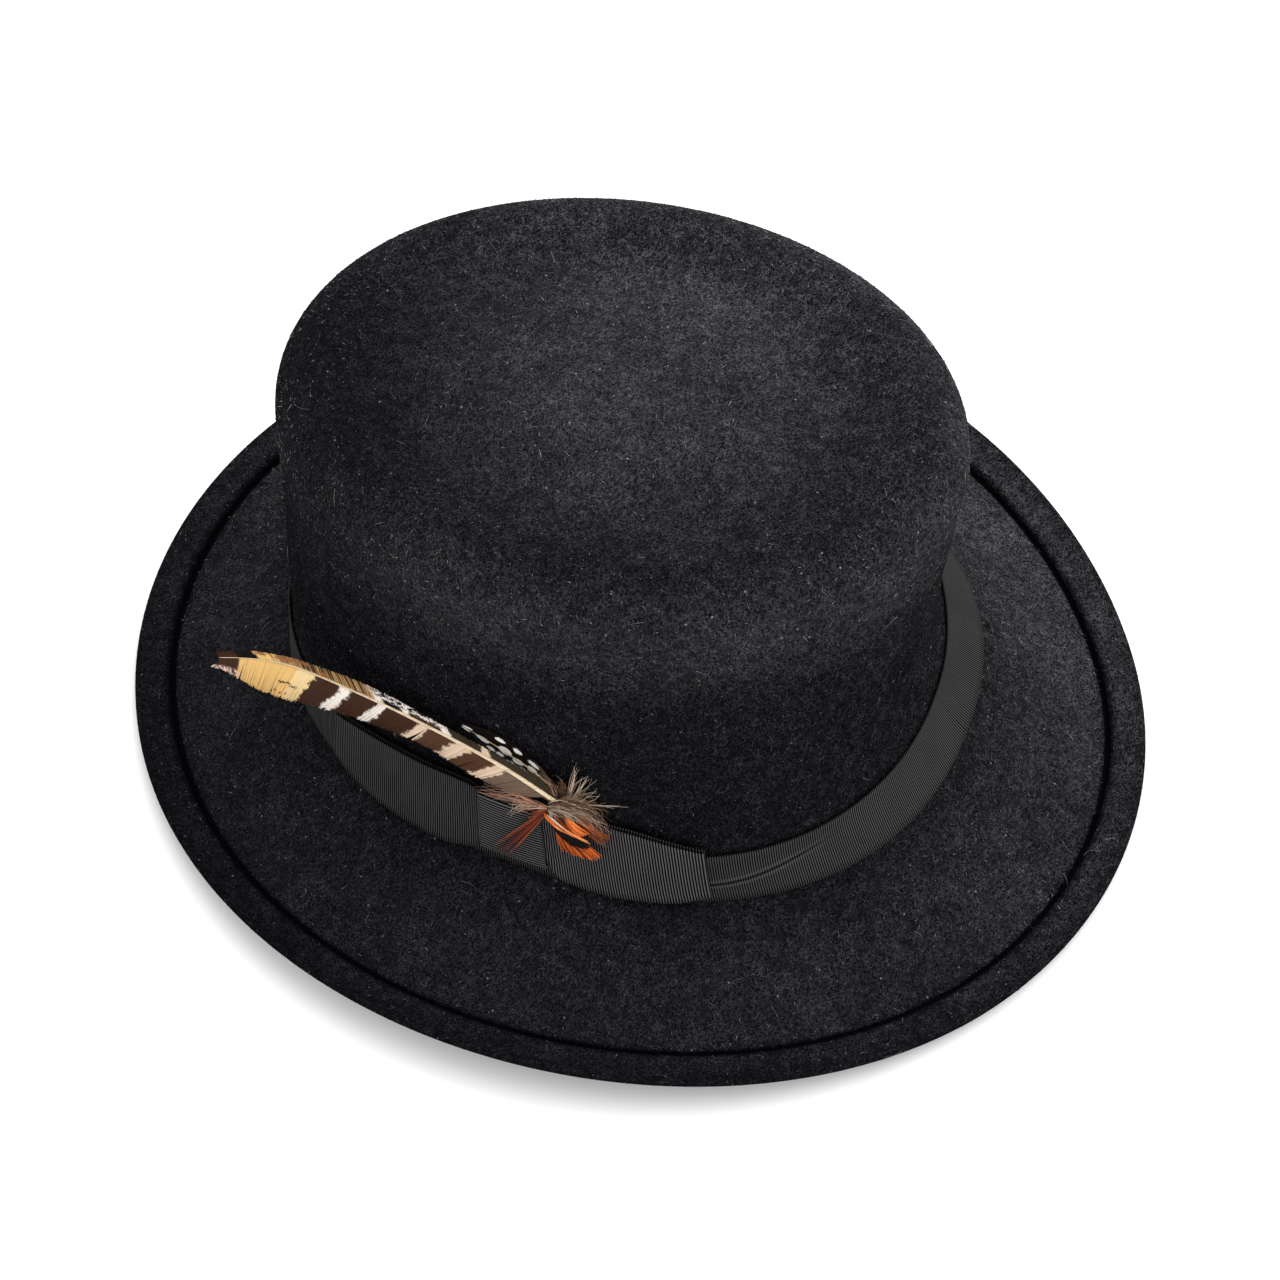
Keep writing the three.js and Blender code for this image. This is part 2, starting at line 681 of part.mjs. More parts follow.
addPiece("felt_body", feltGeometry(), matte(FELT_COLOR, 0.95));
addPiece("band", bandGeometry(), matte(RIBBON_COLOR, 0.7));
addPiece("bow_loop_front", loopGeometry(FRONT_LOOP_ROWS, FRONT_LOOP_LENGTH, 1), matte(RIBBON_COLOR, 0.7));
addPiece("bow_loop_back", loopGeometry(BACK_LOOP_ROWS, BACK_LOOP_LENGTH, -1), matte(RIBBON_COLOR, 0.7));
addPiece("bow_knot", knotGeometry(), matte(RIBBON_COLOR, 0.7));
addPiece("feather_barred", barredFeather(), matte(0x9a7a58, 0.6));
addPiece("feather_spotted", spottedFeather(), matte(0x3a342f, 0.6));
addPiece("down_tuft", downTuft(), matte(0x8a7766, 0.9));
addPiece("rust_strands", rustStrands(), matte(0x8e4a2a, 0.8));
addPiece("orange_fan", orangeFan(), matte(0xc2622a, 0.7));

export default hat;
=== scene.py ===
"""Looks of an open-crown felt hat with a grosgrain band, a flat side bow and a small feather mount."""
import math

import bmesh
import bpy
import numpy as np
from bpy.props import FloatProperty, FloatVectorProperty, IntProperty, PointerProperty
from bpy.types import Operator, Panel, PropertyGroup
from mathutils import Euler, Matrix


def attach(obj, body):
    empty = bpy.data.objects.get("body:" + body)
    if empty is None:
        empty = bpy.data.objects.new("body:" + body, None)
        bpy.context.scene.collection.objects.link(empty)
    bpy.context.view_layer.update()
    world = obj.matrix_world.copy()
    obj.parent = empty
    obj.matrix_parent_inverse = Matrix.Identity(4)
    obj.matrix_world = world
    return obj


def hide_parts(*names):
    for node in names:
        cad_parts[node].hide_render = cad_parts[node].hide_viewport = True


bl_info = {
    "name": "Felt Hat Looks",
    "version": (1, 0, 0),
    "blender": (4, 5, 0),
    "location": "View3D > Sidebar > Felt Hat",
    "description": "Builds the felt, ribbon and feather pieces of a hat over its packed frame",
    "category": "Object",
}

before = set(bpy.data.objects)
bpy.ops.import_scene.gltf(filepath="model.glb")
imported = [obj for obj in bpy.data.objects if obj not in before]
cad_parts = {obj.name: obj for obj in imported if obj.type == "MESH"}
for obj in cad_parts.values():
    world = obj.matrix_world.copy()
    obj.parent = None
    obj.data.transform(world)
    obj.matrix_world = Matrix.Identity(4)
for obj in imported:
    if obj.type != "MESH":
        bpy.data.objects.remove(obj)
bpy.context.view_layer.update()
MM = 0.001
TURN = 2 * math.pi

# Tables of the hat's form as shares of the named sizes. They follow the part's source, apart from the
# upper side of the long feather, which is trimmed here to what shows
TOP_ROWS = {
    "out": [0, 0.2, 0.42, 0.6, 0.74, 0.87, 0.95, 1],
    "drop": [0.25, 0.28, 0.4, 0.78, 1.0, 0.62, 0.18, 0],
}
WALL_ROWS = {
    "height": [0, 0.06, 0.125, 0.175, 0.3, 0.55, 0.8, 1],
    "front": [0, 0.42, 0.82, 0.97, 1.08, 1.13, 1.07, 1],
    "sides": [0, 0.1, 0.18, 0.23, 0.36, 0.6, 0.85, 1],
}
BRIM_ROWS = {
    "out": [0, 0.04, 0.1, 0.2, 0.38, 0.6, 0.83, 1],
    "drop": [0, 0.09, 0.21, 0.37, 0.6, 0.82, 0.96, 1],
}
WELT_ROWS = {"out": [0, 0.45, 0.8, 1], "curl": [0, 0.2, 0.75, 1]}
FRONT_LOOP_ROWS = {
    "along": [0, 0.05, 0.16, 0.35, 0.6, 0.8, 1],
    "low": [0.3, 0.15, 0.09, 0.05, 0.05, 0.06, 0.13],
    "high": [1.0, 1.02, 1.04, 1.03, 0.97, 0.86, 0.73],
}
BACK_LOOP_ROWS = {
    "along": [0, 0.04, 0.15, 0.36, 0.6, 0.8, 1],
    "low": [0.3, 0.2, 0.09, 0.04, 0.04, 0.07, 0.17],
    "high": [1.0, 1.05, 1.07, 1.04, 1.0, 0.93, 0.82],
}
FEATHER_ROWS = {
    "run": [0, 0.06, 0.12, 0.215, 0.33, 0.43, 0.565, 0.65, 0.725, 0.805, 0.885, 0.975],
    "out": [0, -0.002, -0.007, -0.014, -0.027, -0.041, -0.058, -0.068, -0.075, -0.079, -0.081, -0.081],
    "rise": [0, 0.03, 0.05, 0.07, 0.077, 0.073, 0.062, 0.053, 0.044, 0.022, -0.014, -0.062],
    "upper": [0.1, 0.2, 0.16, 0.14, 0.15, 0.19, 0.21, 0.17, 0.15, 0.13, 0.14, 0.1],
    "lower": [0.1, 0.36, 0.49, 0.53, 0.46, 0.5, 0.6, 0.69, 0.76, 0.78, 0.66, 0.26],
}
SPOTTED_ROWS = {
    "run": [0, 0.18, 0.4, 0.65, 0.94],
    "rise": [0, 0.13, 0.23, 0.31, 0.38],
    "upper": [0.1, 0.36, 0.5, 0.44, 0.16],
    "lower": [0.1, 0.36, 0.46, 0.4, 0.14],
}

# Rings of the felt shell from the middle of the top down to the nose of the edge, and the painted light and
# shade of
# the felt there (painted shade on the walls, in the valley, groove and nose, a painted highlight on the
# shoulder): part, share of the way through it, tone
PART_RINGS = {
    "top": (0, 14), "shoulder": (14, 21), "wall": (21, 38), "brim": (38, 50),
    "groove": (50, 55), "welt": (55, 60), "nose": (60, 67),
}
FELT_PAINTED_SHADE_ROWS = [
    ("top", 0, 1.0), ("top", 0.6, 0.9), ("top", 0.85, 0.66), ("shoulder", 0.1, 0.6),
    ("shoulder", 0.4, 0.85), ("shoulder", 0.85, 1.05), ("wall", 0.07, 0.95), ("wall", 0.24, 0.5),
    ("wall", 0.6, 0.42), ("wall", 0.9, 0.42), ("wall", 1, 0.46), ("brim", 0.12, 0.66), ("brim", 0.45, 0.8),
    ("brim", 0.8, 0.84), ("brim", 1, 0.78), ("groove", 0.22, 0.02), ("groove", 0.78, 0.02),
    ("welt", 0, 0.5), ("welt", 0.3, 0.72), ("welt", 0.8, 0.66), ("nose", 0.25, 0.4), ("nose", 1, 0.4),
]


def number(name, description, value):
    return FloatProperty(name=name, description=description, default=value)


def sized(name, description, millimetres):
    return FloatProperty(name=name, description=description, unit="LENGTH", default=millimetres * MM)


def angled(name, description, degrees):
    return FloatProperty(name=name, description=description, subtype="ANGLE", default=math.radians(degrees))


def tinted(name, description, value):
    return FloatVectorProperty(name=name, description=description, subtype="COLOR", default=value)


class FeltSettings(PropertyGroup):
    """Sizes and colours of the felt body"""

    brim_length: sized("Brim length", "Brim from front to back", 304)
    brim_width: sized("Brim width", "Brim from side to side", 272)
    brim_egg: number("Brim egg", "How much narrower the brim is in front", -0.018)
    side_lift: sized("Side lift", "Height of the brim's sides over the table", 6.5)
    side_lift_start: number("Side lift start", "Sine of the angle where the lift begins", 0.5)
    end_curl: sized("End curl", "Upturn of the edge in front and behind", 1.8)
    side_curl: sized("Side curl", "Upturn of the edge at the sides", 4.7)
    wall: sized("Felt", "Thickness of the felt", 2)
    welt: sized("Welt", "Width of the folded edge of the brim", 10)
    groove_width: sized("Groove width", "Width of the groove beside the welt", 1.6)
    groove_depth: sized("Groove depth", "Depth of the groove beside the welt", 1.4)
    base_length: sized("Crown length", "Crown at its foot, front to back", 201)
    base_width: sized("Crown width", "Crown at its foot, side to side", 169)
    base_squareness: number("Squareness", "Exponent of the oval at the crown's foot", 2.28)
    base_height: sized("Foot height", "Height of the crown's foot", 21)
    base_pitch: sized("Foot pitch", "How much higher the foot is in front", 2.7)
    top_length: sized("Top length", "Crown at its shoulder, front to back", 184)
    top_width: sized("Top width", "Crown at its shoulder, side to side", 146)
    top_lean: sized("Top lean", "How far the top sits towards the back", 5.5)
    crown_height: sized("Crown height", "Height of the crown's rim", 127)
    crown_pitch: sized("Crown pitch", "How much higher the rim is in front", 4.5)
    shoulder_radius: sized("Shoulder radius", "Radius of the crown's rim", 14)
    dent_depth: sized("Dent depth", "Depth of the valley inside the rim", 5)
    flare_angle: angled("Flare angle", "Where the foot flares most", 8)
    flare_narrowness: number("Flare narrowness", "How quickly the flare fades around the crown", 3)
    around: IntProperty(name="Fineness", description="Steps around the hat", default=192)
    nap_length: sized("Nap length", "Length of the fibres on the felt", 0.9)
    nap_count: IntProperty(name="Nap count", description="Fibres in each half of the nap", default=44000)
    dark: tinted("Dark felt", "Ground of the felt", (0.0022, 0.0022, 0.0032))
    light: tinted("Light felt", "Matted fibres of the felt", (0.108, 0.105, 0.114))
    fibre: tinted("Fibre", "Loose fibres that catch the light", (0.25, 0.244, 0.25))


class RibbonSettings(PropertyGroup):
    """Sizes and colours of the band and the bow"""

    clearance: sized("Clearance", "Gap between touching pieces", 0.35)
    band_width: sized("Band width", "Width of the band", 16.5)
    band_thickness: sized("Band thickness", "Both layers of the band", 1)
    band_foot: sized("Band foot", "Height of the band over the crown's foot", 0.8)
    ribbon_width: sized("Ribbon width", "Width of the bow's ribbon", 28)
    ribbon_thickness: sized("Ribbon thickness", "Thickness of the bow's ribbon", 0.8)
    loop_opening: sized("Loop opening", "Gap inside each loop of the bow", 0.5)
    rib_pitch: sized("Rib pitch", "Distance from rib to rib of the bow", 0.71)
    band_rib_pitch: sized("Band rib pitch", "Distance from rib to rib of the band", 0.66)
    rib_height: sized("Rib height", "Height of the ribs", 0.16)
    knot_rib_pitch: sized("Knot rib pitch", "Distance from rib to rib of the knot", 1)
    knot_run: sized("Knot place", "The knot's place along the hat's side", 2.3)
    knot_width: sized("Knot width", "Width of the knot", 20)
    knot_low: number("Knot low", "Knot's lower edge as a share of the ribbon's width", 0.265)
    knot_high: number("Knot high", "Knot's upper edge as a share of the ribbon's width", 1.045)
    knot_bulge: sized("Knot bulge", "How far the knot's middle stands out", 0.2)
    front_loop: sized("Front loop", "Length of the front loop", 51)
    back_loop: sized("Back loop", "Length of the back loop", 60)
    color: tinted("Ribbon", "Colour of the ribs", (0.122, 0.118, 0.12))
    # The valley colour is painted shade between the ribs
    valley: tinted("Ribbon valley", "Colour between the ribs", (0.002, 0.002, 0.002))


class FeatherSettings(PropertyGroup):
    """Sizes of the feather mount"""

    length: sized("Length", "Length of the long feather", 106)
    width: sized("Width", "Width of its vane", 15)
    shaft: sized("Shaft", "Thickness of its shaft", 1.1)
    tilt: angled("Tilt", "How far its vane faces up", 25)
    root_run: sized("Root place", "Distance from knot to root", 15.7)
    root_rise: sized("Root height", "Height of the root over the crown's foot", 40.8)
    root_out: sized("Root out", "Distance of the root from the crown", 7)
    spotted_length: sized("Spotted length", "Length of the spotted feather", 31)
    spotted_width: sized("Spotted width", "Width of the spotted feather", 9)


class StageSettings(PropertyGroup):
    """Camera, floor and lights"""

    lens: number("Lens", "Focal length in millimetres on a 36 mm sensor", 58.06)
    floor: tinted("Floor", "Colour of the floor", (0.95, 0.95, 0.95))
    overhead: number("Overhead", "Power of the soft light overhead in watts", 14.0)
    side: number("Side", "Power of the light from the right in watts", 1.2)
    fill: number("Fill", "Strength of the even light all round", 1.08)


def smooth_rows(table, key, at, column):
    """Reads a column of a table at any place, on a smooth curve through its rows."""
    xs = np.array(table[key], float)
    ys = np.array(table[column], float)
    slopes = np.gradient(ys, xs)
    at = np.clip(at, xs[0], xs[-1])
    i = np.clip(np.searchsorted(xs, at, side="right") - 1, 0, len(xs) - 2)
    span = xs[i + 1] - xs[i]
    t = (at - xs[i]) / span
    rise = ys[i + 1] - ys[i]
    first = slopes[i] * span
    last = slopes[i + 1] * span
    return ys[i] + t * (first + t * (3 * rise - 2 * first - last + t * (first + last - 2 * rise)))


def mix(a, b, share):
    return a + (b - a) * share


def signed_power(value, power):
    return np.sign(value) * np.abs(value) ** power


def points(x, y, z):
    return np.stack(np.broadcast_arrays(x, y, z), axis=-1)


def unit(vectors):
    return vectors / np.maximum(np.linalg.norm(vectors, axis=-1, keepdims=True), 1e-12)


class HatForm:
    """The ovals and walls of the hat, worked out for whole arrays of angles and heights in metres."""

    def __init__(self):
        self.felt = bpy.context.scene.hat_felt
        self.ribbon = bpy.context.scene.hat_ribbon

    def brim_edge(self, angle):
        f = self.felt
        along = np.cos(angle)
        across = np.sin(angle) * (1 + f.brim_egg * along)
        return points(f.brim_length / 2 * along, f.brim_width / 2 * across, 0)

    def crown_base(self, angle):
        f = self.felt
        power = 2 / f.base_squareness
        return points(
            f.base_length / 2 * signed_power(np.cos(angle), power),
            f.base_width / 2 * signed_power(np.sin(angle), power),
            f.base_height + f.base_pitch * np.cos(angle),
        )

    def shoulder(self, angle, tilt):
        f = self.felt
        out = unit(points(np.cos(angle) / f.top_length, np.sin(angle) / f.top_width, 0))
        centre = points(
            (f.top_length / 2 - f.shoulder_radius) * np.cos(angle) - f.top_lean,
            (f.top_width / 2 - f.shoulder_radius) * np.sin(angle),
            f.crown_height + f.crown_pitch * np.cos(angle) - f.shoulder_radius,
        )
        reach = f.shoulder_radius * np.cos(tilt)
        return centre + out * np.expand_dims(reach, -1) + points(0, 0, f.shoulder_radius * np.sin(tilt))

    def wall_height(self, angle):
        return self.shoulder(angle, np.zeros_like(angle))[..., 2] - self.crown_base(angle)[..., 2]

    def wall(self, angle, height):
        f = self.felt
        foot = self.crown_base(angle)
        head = self.shoulder(angle, np.zeros_like(angle))
        share = height / (head[..., 2] - foot[..., 2])
        front_share = np.maximum(0, np.cos(angle - f.flare_angle)) ** f.flare_narrowness
        front = smooth_rows(WALL_ROWS, "height", share, "front")
        sides = smooth_rows(WALL_ROWS, "height", share, "sides")
        taper = mix(sides, front, front_share)
        return points(
            mix(foot[..., 0], head[..., 0], taper),
            mix(foot[..., 1], head[..., 1], taper),
            foot[..., 2] + height,
        )

    def wall_normal(self, angle, height):
        step = 0.01
        around = self.wall(angle + step, height) - self.wall(angle - step, height)
        up = self.wall(angle, height + MM) - self.wall(angle, height)
        return unit(np.cross(around, up))

    def off_wall(self, angle, height, out):
        angle, height, out = np.broadcast_arrays(angle, height, out)
        return self.wall(angle, height) + self.wall_normal(angle, height) * out[..., None]

    def angle_at(self, run):
        share = (run + self.ribbon.knot_run) / (self.felt.base_length / 2)
        return -math.pi / 2 + np.arcsin(np.clip(signed_power(share, self.felt.base_squareness / 2), -1, 1))

    def beside(self, run, height, out):
        return self.off_wall(self.angle_at(np.asarray(run, float)), np.asarray(height, float), out)

    def low_line(self, angle):
        f = self.felt
        side = np.maximum(0, np.abs(np.sin(angle)) - f.side_lift_start) / (1 - f.side_lift_start)
        return f.side_lift * side**1.5

    def curl(self, angle):
        return mix(self.felt.end_curl, self.felt.side_curl, np.sin(angle) ** 2)

    def brim_span(self, angle):
        return np.linalg.norm((self.brim_edge(angle) - self.crown_base(angle))[..., :2], axis=-1)

    def brim(self, angle, inward, height):
        edge = self.brim_edge(angle)
        foot = self.crown_base(angle)
        share = inward / self.brim_span(angle)
        return points(
            mix(edge[..., 0], foot[..., 0], share), mix(edge[..., 1], foot[..., 1], share), height
        )


def build_mesh(name, bm, smooth=True):
    """Makes an object from a bmesh, with its place in the mesh."""
    mesh = bpy.data.meshes.new(name)
    bm.to_mesh(mesh)
    bm.free()
    for polygon in mesh.polygons:
        polygon.use_smooth = smooth
    piece = bpy.data.objects.new(name, mesh)
    bpy.context.scene.collection.objects.link(piece)
    return piece


def finish_piece(piece, slot, material, *nodes):
    """Gives a piece its material and body, and hides the CAD nodes that it stands for."""
    piece.data.materials.append(material)
    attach(piece, "root")
    if nodes:
        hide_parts(*nodes)
    return piece


def wrapped_grid(name, columns, rows, place, outward=None, close=True):
    """A grid laid over a surface by place(u, v), with u and v from 0 to 1, its seams and poles closed."""
    bm = bmesh.new()
    bm.loops.layers.uv.new("UVMap")
    bmesh.ops.create_grid(bm, x_segments=columns, y_segments=rows, size=0.5, calc_uvs=True)
    flat = np.array([v.co[:2] for v in bm.verts]) + 0.5
    placed = place(flat[:, 0], flat[:, 1])
    for vert, spot in zip(bm.verts, placed):
        vert.co = spot
    if close:
        bmesh.ops.remove_doubles(bm, verts=bm.verts, dist=1e-6)
    bmesh.ops.recalc_face_normals(bm, faces=bm.faces)
    if outward is not None:
        bm.faces.ensure_lookup_table()
        face = max(bm.faces, key=lambda one: one.calc_center_median().dot(outward))
        if face.normal.dot(outward) < 0:
            bmesh.ops.reverse_faces(bm, faces=bm.faces)
    return build_mesh(name, bm)


def read(items, name, width, kind=float):
    """One property of all the items of a mesh, as an array with a row for each."""
    flat = np.empty(len(items) * width, kind)
    items.foreach_get(name, flat)
    return flat.reshape(-1, width)


def stretch_uvs(piece, axis, times):
    """Makes one axis of the UVs count rings or ribs in place of a share."""
    layer = piece.data.uv_layers.active.data
    uvs = read(layer, "uv", 2)
    uvs[:, axis] *= times
    layer.foreach_set("uv", uvs.ravel())


def joined_mesh(name, places, faces, tones, each):
    """An object of many small parts in one mesh, with one tone for each part."""
    mesh = bpy.data.meshes.new(name)
    mesh.from_pydata(places.reshape(-1, 3).tolist(), [], faces.tolist())
    tone = mesh.attributes.new("tone", "FLOAT", "POINT")
    tone.data.foreach_set("value", np.repeat(tones, each))
    mesh.update()
    piece = bpy.data.objects.new(name, mesh)
    bpy.context.scene.collection.objects.link(piece)
    return piece


def joined_strands(name, paths, sides, normals, widths, thickness, uvs, tones):
    """Many thin closed strands in one mesh, each a flat tapered bar along its own path."""
    count, steps = paths.shape[:2]
    wide = sides * widths[..., None] / 2
    thick = normals * np.minimum(thickness, widths)[..., None] / 2
    ring = np.stack([paths + wide, paths + thick, paths - wide, paths - thick], axis=2)
    start = (np.arange(count) * steps * 4)[:, None, None]
    along = (np.arange(steps - 1) * 4)[None, :, None]
    corner = np.arange(4)[None, None, :]
    following = (corner + 1) % 4
    nearer = start + along
    quads = np.stack(
        [nearer + corner, nearer + following, nearer + 4 + following, nearer + 4 + corner], axis=-1
    ).reshape(-1, 4)
    root = np.arange(count)[:, None] * steps * 4
    caps = np.concatenate([root + np.array([3, 2, 1, 0]), root + (steps - 1) * 4 + np.array([0, 1, 2, 3])])
    piece = joined_mesh(name, ring, np.concatenate([quads, caps]), tones, steps * 4)
    if uvs is not None:
        mesh = piece.data
        layer = mesh.uv_layers.new(name="UVMap")
        per_vertex = np.repeat(uvs.reshape(-1, 2), 4, axis=0)
        corners = read(mesh.loops, "vertex_index", 1, int)[:, 0]
        layer.data.foreach_set("uv", per_vertex[corners].ravel())
    return piece


def joined_slivers(name, roots, tips, width, tones):
    """Many tiny closed fibres in one mesh, each a three-sided point from its root to its tip."""
    along = unit(tips - roots)
    other = unit(np.cross(along, np.roll(along, 1, axis=-1) + 0.1))
    third = np.cross(along, other)
    corners = []
    for turn in (0, TURN / 3, 2 * TURN / 3):
        corners.append(roots + (other * math.cos(turn) + third * math.sin(turn)) * width[:, None] / 2)
    places = np.stack([*corners, tips], axis=1)
    start = (np.arange(len(roots)) * 4)[:, None]
    threes = ((0, 2, 1), (0, 1, 3), (1, 2, 3), (2, 0, 3))
    faces = np.concatenate([start + np.array(three) for three in threes])
    return joined_mesh(name, places, faces, tones, 4)


class Value:
    """One output of a shader node, for sums in plain Python."""

    def __init__(self, shader, socket):
        self.shader = shader
        self.socket = socket

    def math(self, operation, *others):
        inputs = dict(enumerate((self, *others)))
        return self.shader.node("ShaderNodeMath", {"operation": operation}, inputs)

    def __add__(self, other):
        return self.math("ADD", other)

    def __sub__(self, other):
        return self.math("SUBTRACT", other)

    def __rsub__(self, other):
        return self.shader.node("ShaderNodeMath", {"operation": "SUBTRACT"}, {0: other, 1: self})

    def __mul__(self, other):
        return self.math("MULTIPLY", other)

    def __pow__(self, other):
        return self.math("POWER", other)

    def size(self):
        return self.math("ABSOLUTE")

    __radd__ = __add__
    __rmul__ = __mul__

    def clamped(self):
        return self.shader.node("ShaderNodeClamp", {}, {0: self})

    def ramp(self, low, high):
        """0 below low, 1 above high and smooth between them."""
        settings = {"interpolation_type": "SMOOTHSTEP"}
        return self.shader.node("ShaderNodeMapRange", settings, {0: self, 1: low, 2: high, 3: 0.0, 4: 1.0})


class Shader:
    """A material whose nodes are added one by one."""

    def __init__(self, name, **settings):
        self.material = bpy.data.materials.new(name)
        self.material.use_nodes = True
        self.tree = self.material.node_tree
        self.surface = self.tree.nodes["Principled BSDF"]
        for socket, value in settings.items():
            self.surface.inputs[socket.replace("_", " ")].default_value = value

    def node(self, kind, settings=None, values=None, output=0):
        made = self.tree.nodes.new(kind)
        for key, value in (settings or {}).items():
            if key == "stops":
                self.set_stops(made.color_ramp, value)
            else:
                setattr(made, key, value)
        for key, value in (values or {}).items():
            if isinstance(value, Value):
                self.tree.links.new(value.socket, made.inputs[key])
            else:
                made.inputs[key].default_value = value
        return Value(self, made.outputs[output])

    @staticmethod
    def set_stops(ramp, stops):
        while len(ramp.elements) > 1:
            ramp.elements.remove(ramp.elements[-1])
        for i, (place, color) in enumerate(stops):
            element = ramp.elements[0] if i == 0 else ramp.elements.new(place)
            element.position = place
            element.color = (*color, 1.0)

    def place(self):
        return self.node("ShaderNodeTexCoord", output="Object")

    def parts(self, vector):
        """The three parts of a vector."""
        return [self.node("ShaderNodeSeparateXYZ", {}, {0: vector}, output=part) for part in "XYZ"]

    def uv(self):
        return self.parts(self.node("ShaderNodeUVMap"))[:2]

    def tone(self):
        return self.node("ShaderNodeAttribute", {"attribute_name": "tone"}, output="Fac")

    def ramp(self, share, stops):
        return self.node("ShaderNodeValToRGB", {"stops": stops}, {0: share})

    def shaded(self, color, shade):
        """A colour times a grey."""
        grey = self.node("ShaderNodeCombineColor", {}, {0: shade, 1: shade, 2: shade})
        return self.blend(1.0, color, grey, "MULTIPLY")

    def noise(self, place, size, detail=2.0, roughness=0.5, output="Fac"):
        values = {"Vector": place, "Scale": 1 / size, "Detail": detail, "Roughness": roughness}
        return self.node("ShaderNodeTexNoise", {}, values, output)

    def stretched(self, place, scale, turn=(0, 0, 0)):
        values = {"Vector": place, "Scale": scale, "Rotation": turn}
        return self.node("ShaderNodeMapping", {"vector_type": "POINT"}, values)

    def blend(self, share, first, second, kind="MIX"):
        settings = {"data_type": "RGBA", "blend_type": kind}
        first = (*first, 1.0) if isinstance(first, tuple) else first
        second = (*second, 1.0) if isinstance(second, tuple) else second
        return self.node("ShaderNodeMix", settings, {0: share, 6: first, 7: second}, 2)

    def feed(self, **links):
        for socket, value in links.items():
            self.tree.links.new(value.socket, self.surface.inputs[socket.replace("_", " ")])

    def bump(self, height, distance, strength=1.0):
        values = {"Height": height, "Distance": distance, "Strength": strength}
        self.feed(Normal=self.node("ShaderNodeBump", {}, values))


def matted_fibres(shader, place, size, sharpness):
    """Thin curling lines, where a noise passes through its middle value."""
    middle = (shader.noise(place, size, 1.5, 0.5) - 0.5).size()
    return (1.0 - middle * sharpness).clamped() ** 1.6


def painted_felt_shade(ring, y):
    """Painted light and shade of the felt at a ring of the shell, with painted shade towards the side with the
    bow and painted light towards the back.
    """
    places = [mix(*PART_RINGS[part], share) for part, share, _ in FELT_PAINTED_SHADE_ROWS]
    painted_light_slope = np.clip((y + 0.13) / 0.21, 0, 1)
    return np.interp(ring, places, [tone for *_, tone in FELT_PAINTED_SHADE_ROWS]) * (0.6 + 0.4 * painted_light_slope)


def felt_material(rings):
    """Short-napped felt: matted fibres and bright specks over a near black ground, with painted light and shade
    by ring, a painted black shadow in the groove, painted light towards the back and right, and painted shade on
    the front left of the shoulder.
    """
    felt = bpy.context.scene.hat_felt
    shader = Shader("pressed_felt", Roughness=0.95, Specular_IOR_Level=0.0)
    place = shader.place()
    x, y, z = shader.parts(place)
    patches = shader.noise(place, 26 * MM, 3.0, 0.6).ramp(0.32, 0.68)
    blotches = shader.noise(place, 9 * MM, 2.0, 0.55).ramp(0.34, 0.66)
    clumps = shader.noise(place, 3.2 * MM, 2.0, 0.6).ramp(0.3, 0.7)
    short = matted_fibres(shader, place, 0.72 * MM, 10.0)
    turned = shader.stretched(place, (1.0, 0.7, 0.55), (0.7, 0.4, 1.9))
    long = matted_fibres(shader, turned, 1.15 * MM, 14.0)
    breaks = shader.noise(place, 1.4 * MM, 2.0, 0.6).ramp(0.46, 0.6)
    grain = shader.noise(place, 0.45 * MM, 2.0, 0.7).ramp(0.35, 0.75)
    fibres = (short * (0.35 + 0.65 * breaks)).math("MAXIMUM", long * (1.0 - 0.6 * breaks))
    nap = (fibres * 0.8 + grain * 0.4) * (0.6 + 0.4 * clumps)
    # Painted light and shade by ring of the shell, from the table of rings
    _, ring = shader.uv()
    full = 1.5
    stops = []
    for part, share, tone in FELT_PAINTED_SHADE_ROWS:
        stops.append((mix(*PART_RINGS[part], share) / rings, (tone / full,) * 3))
    tone = shader.ramp(ring * (1 / rings), stops) * full
    # Painted light that grows towards the back and the right
    painted_light_slope = (0.5 + 0.45 * y.ramp(-0.14, 0.02) + 0.75 * y.ramp(0.0, 0.08)) * (0.7 + 0.3 * x.ramp(-0.11, 0.0))
    # Painted shade on the front left of the crown's shoulder
    corner = z.ramp(0.085, 0.11) * (1.0 - x.ramp(-0.09, -0.01)) * (1.0 - y.ramp(-0.03, 0.05))
    painted_light_slope = painted_light_slope * (1.0 - 0.5 * corner)
    # Random patches and blotches of the felt, times the painted light
    lit = (0.72 + 0.28 * patches) * (0.82 + 0.18 * blotches) * painted_light_slope
    # Nap fibres and specks are dimmer where the painted shade falls
    nap = nap.clamped().math("POWER", 1.0 + 1.2 * (1.0 - tone)) * tone.ramp(0.0, 0.1) * (0.3 + 0.7 * tone)
    nap = (nap * lit).clamped()
    color = shader.blend(nap, tuple(felt.dark), tuple(felt.light))
    cells = {"Vector": place, "Scale": 1 / (2.6 * MM)}
    dots = shader.node("ShaderNodeTexVoronoi", {}, cells, output="Distance")
    picked = shader.node("ShaderNodeTexVoronoi", {}, cells, output="Color")
    rare = shader.parts(picked)[0].ramp(0.8, 0.95)
    speck = (1.0 - dots.ramp(0.06, 0.14)) * rare * tone
    shader.feed(Base_Color=shader.blend(speck * 0.8, color, tuple(felt.fibre)))
    shader.bump(fibres * 0.6 + grain * 0.3, 0.25 * MM, 0.7)
    return shader.material


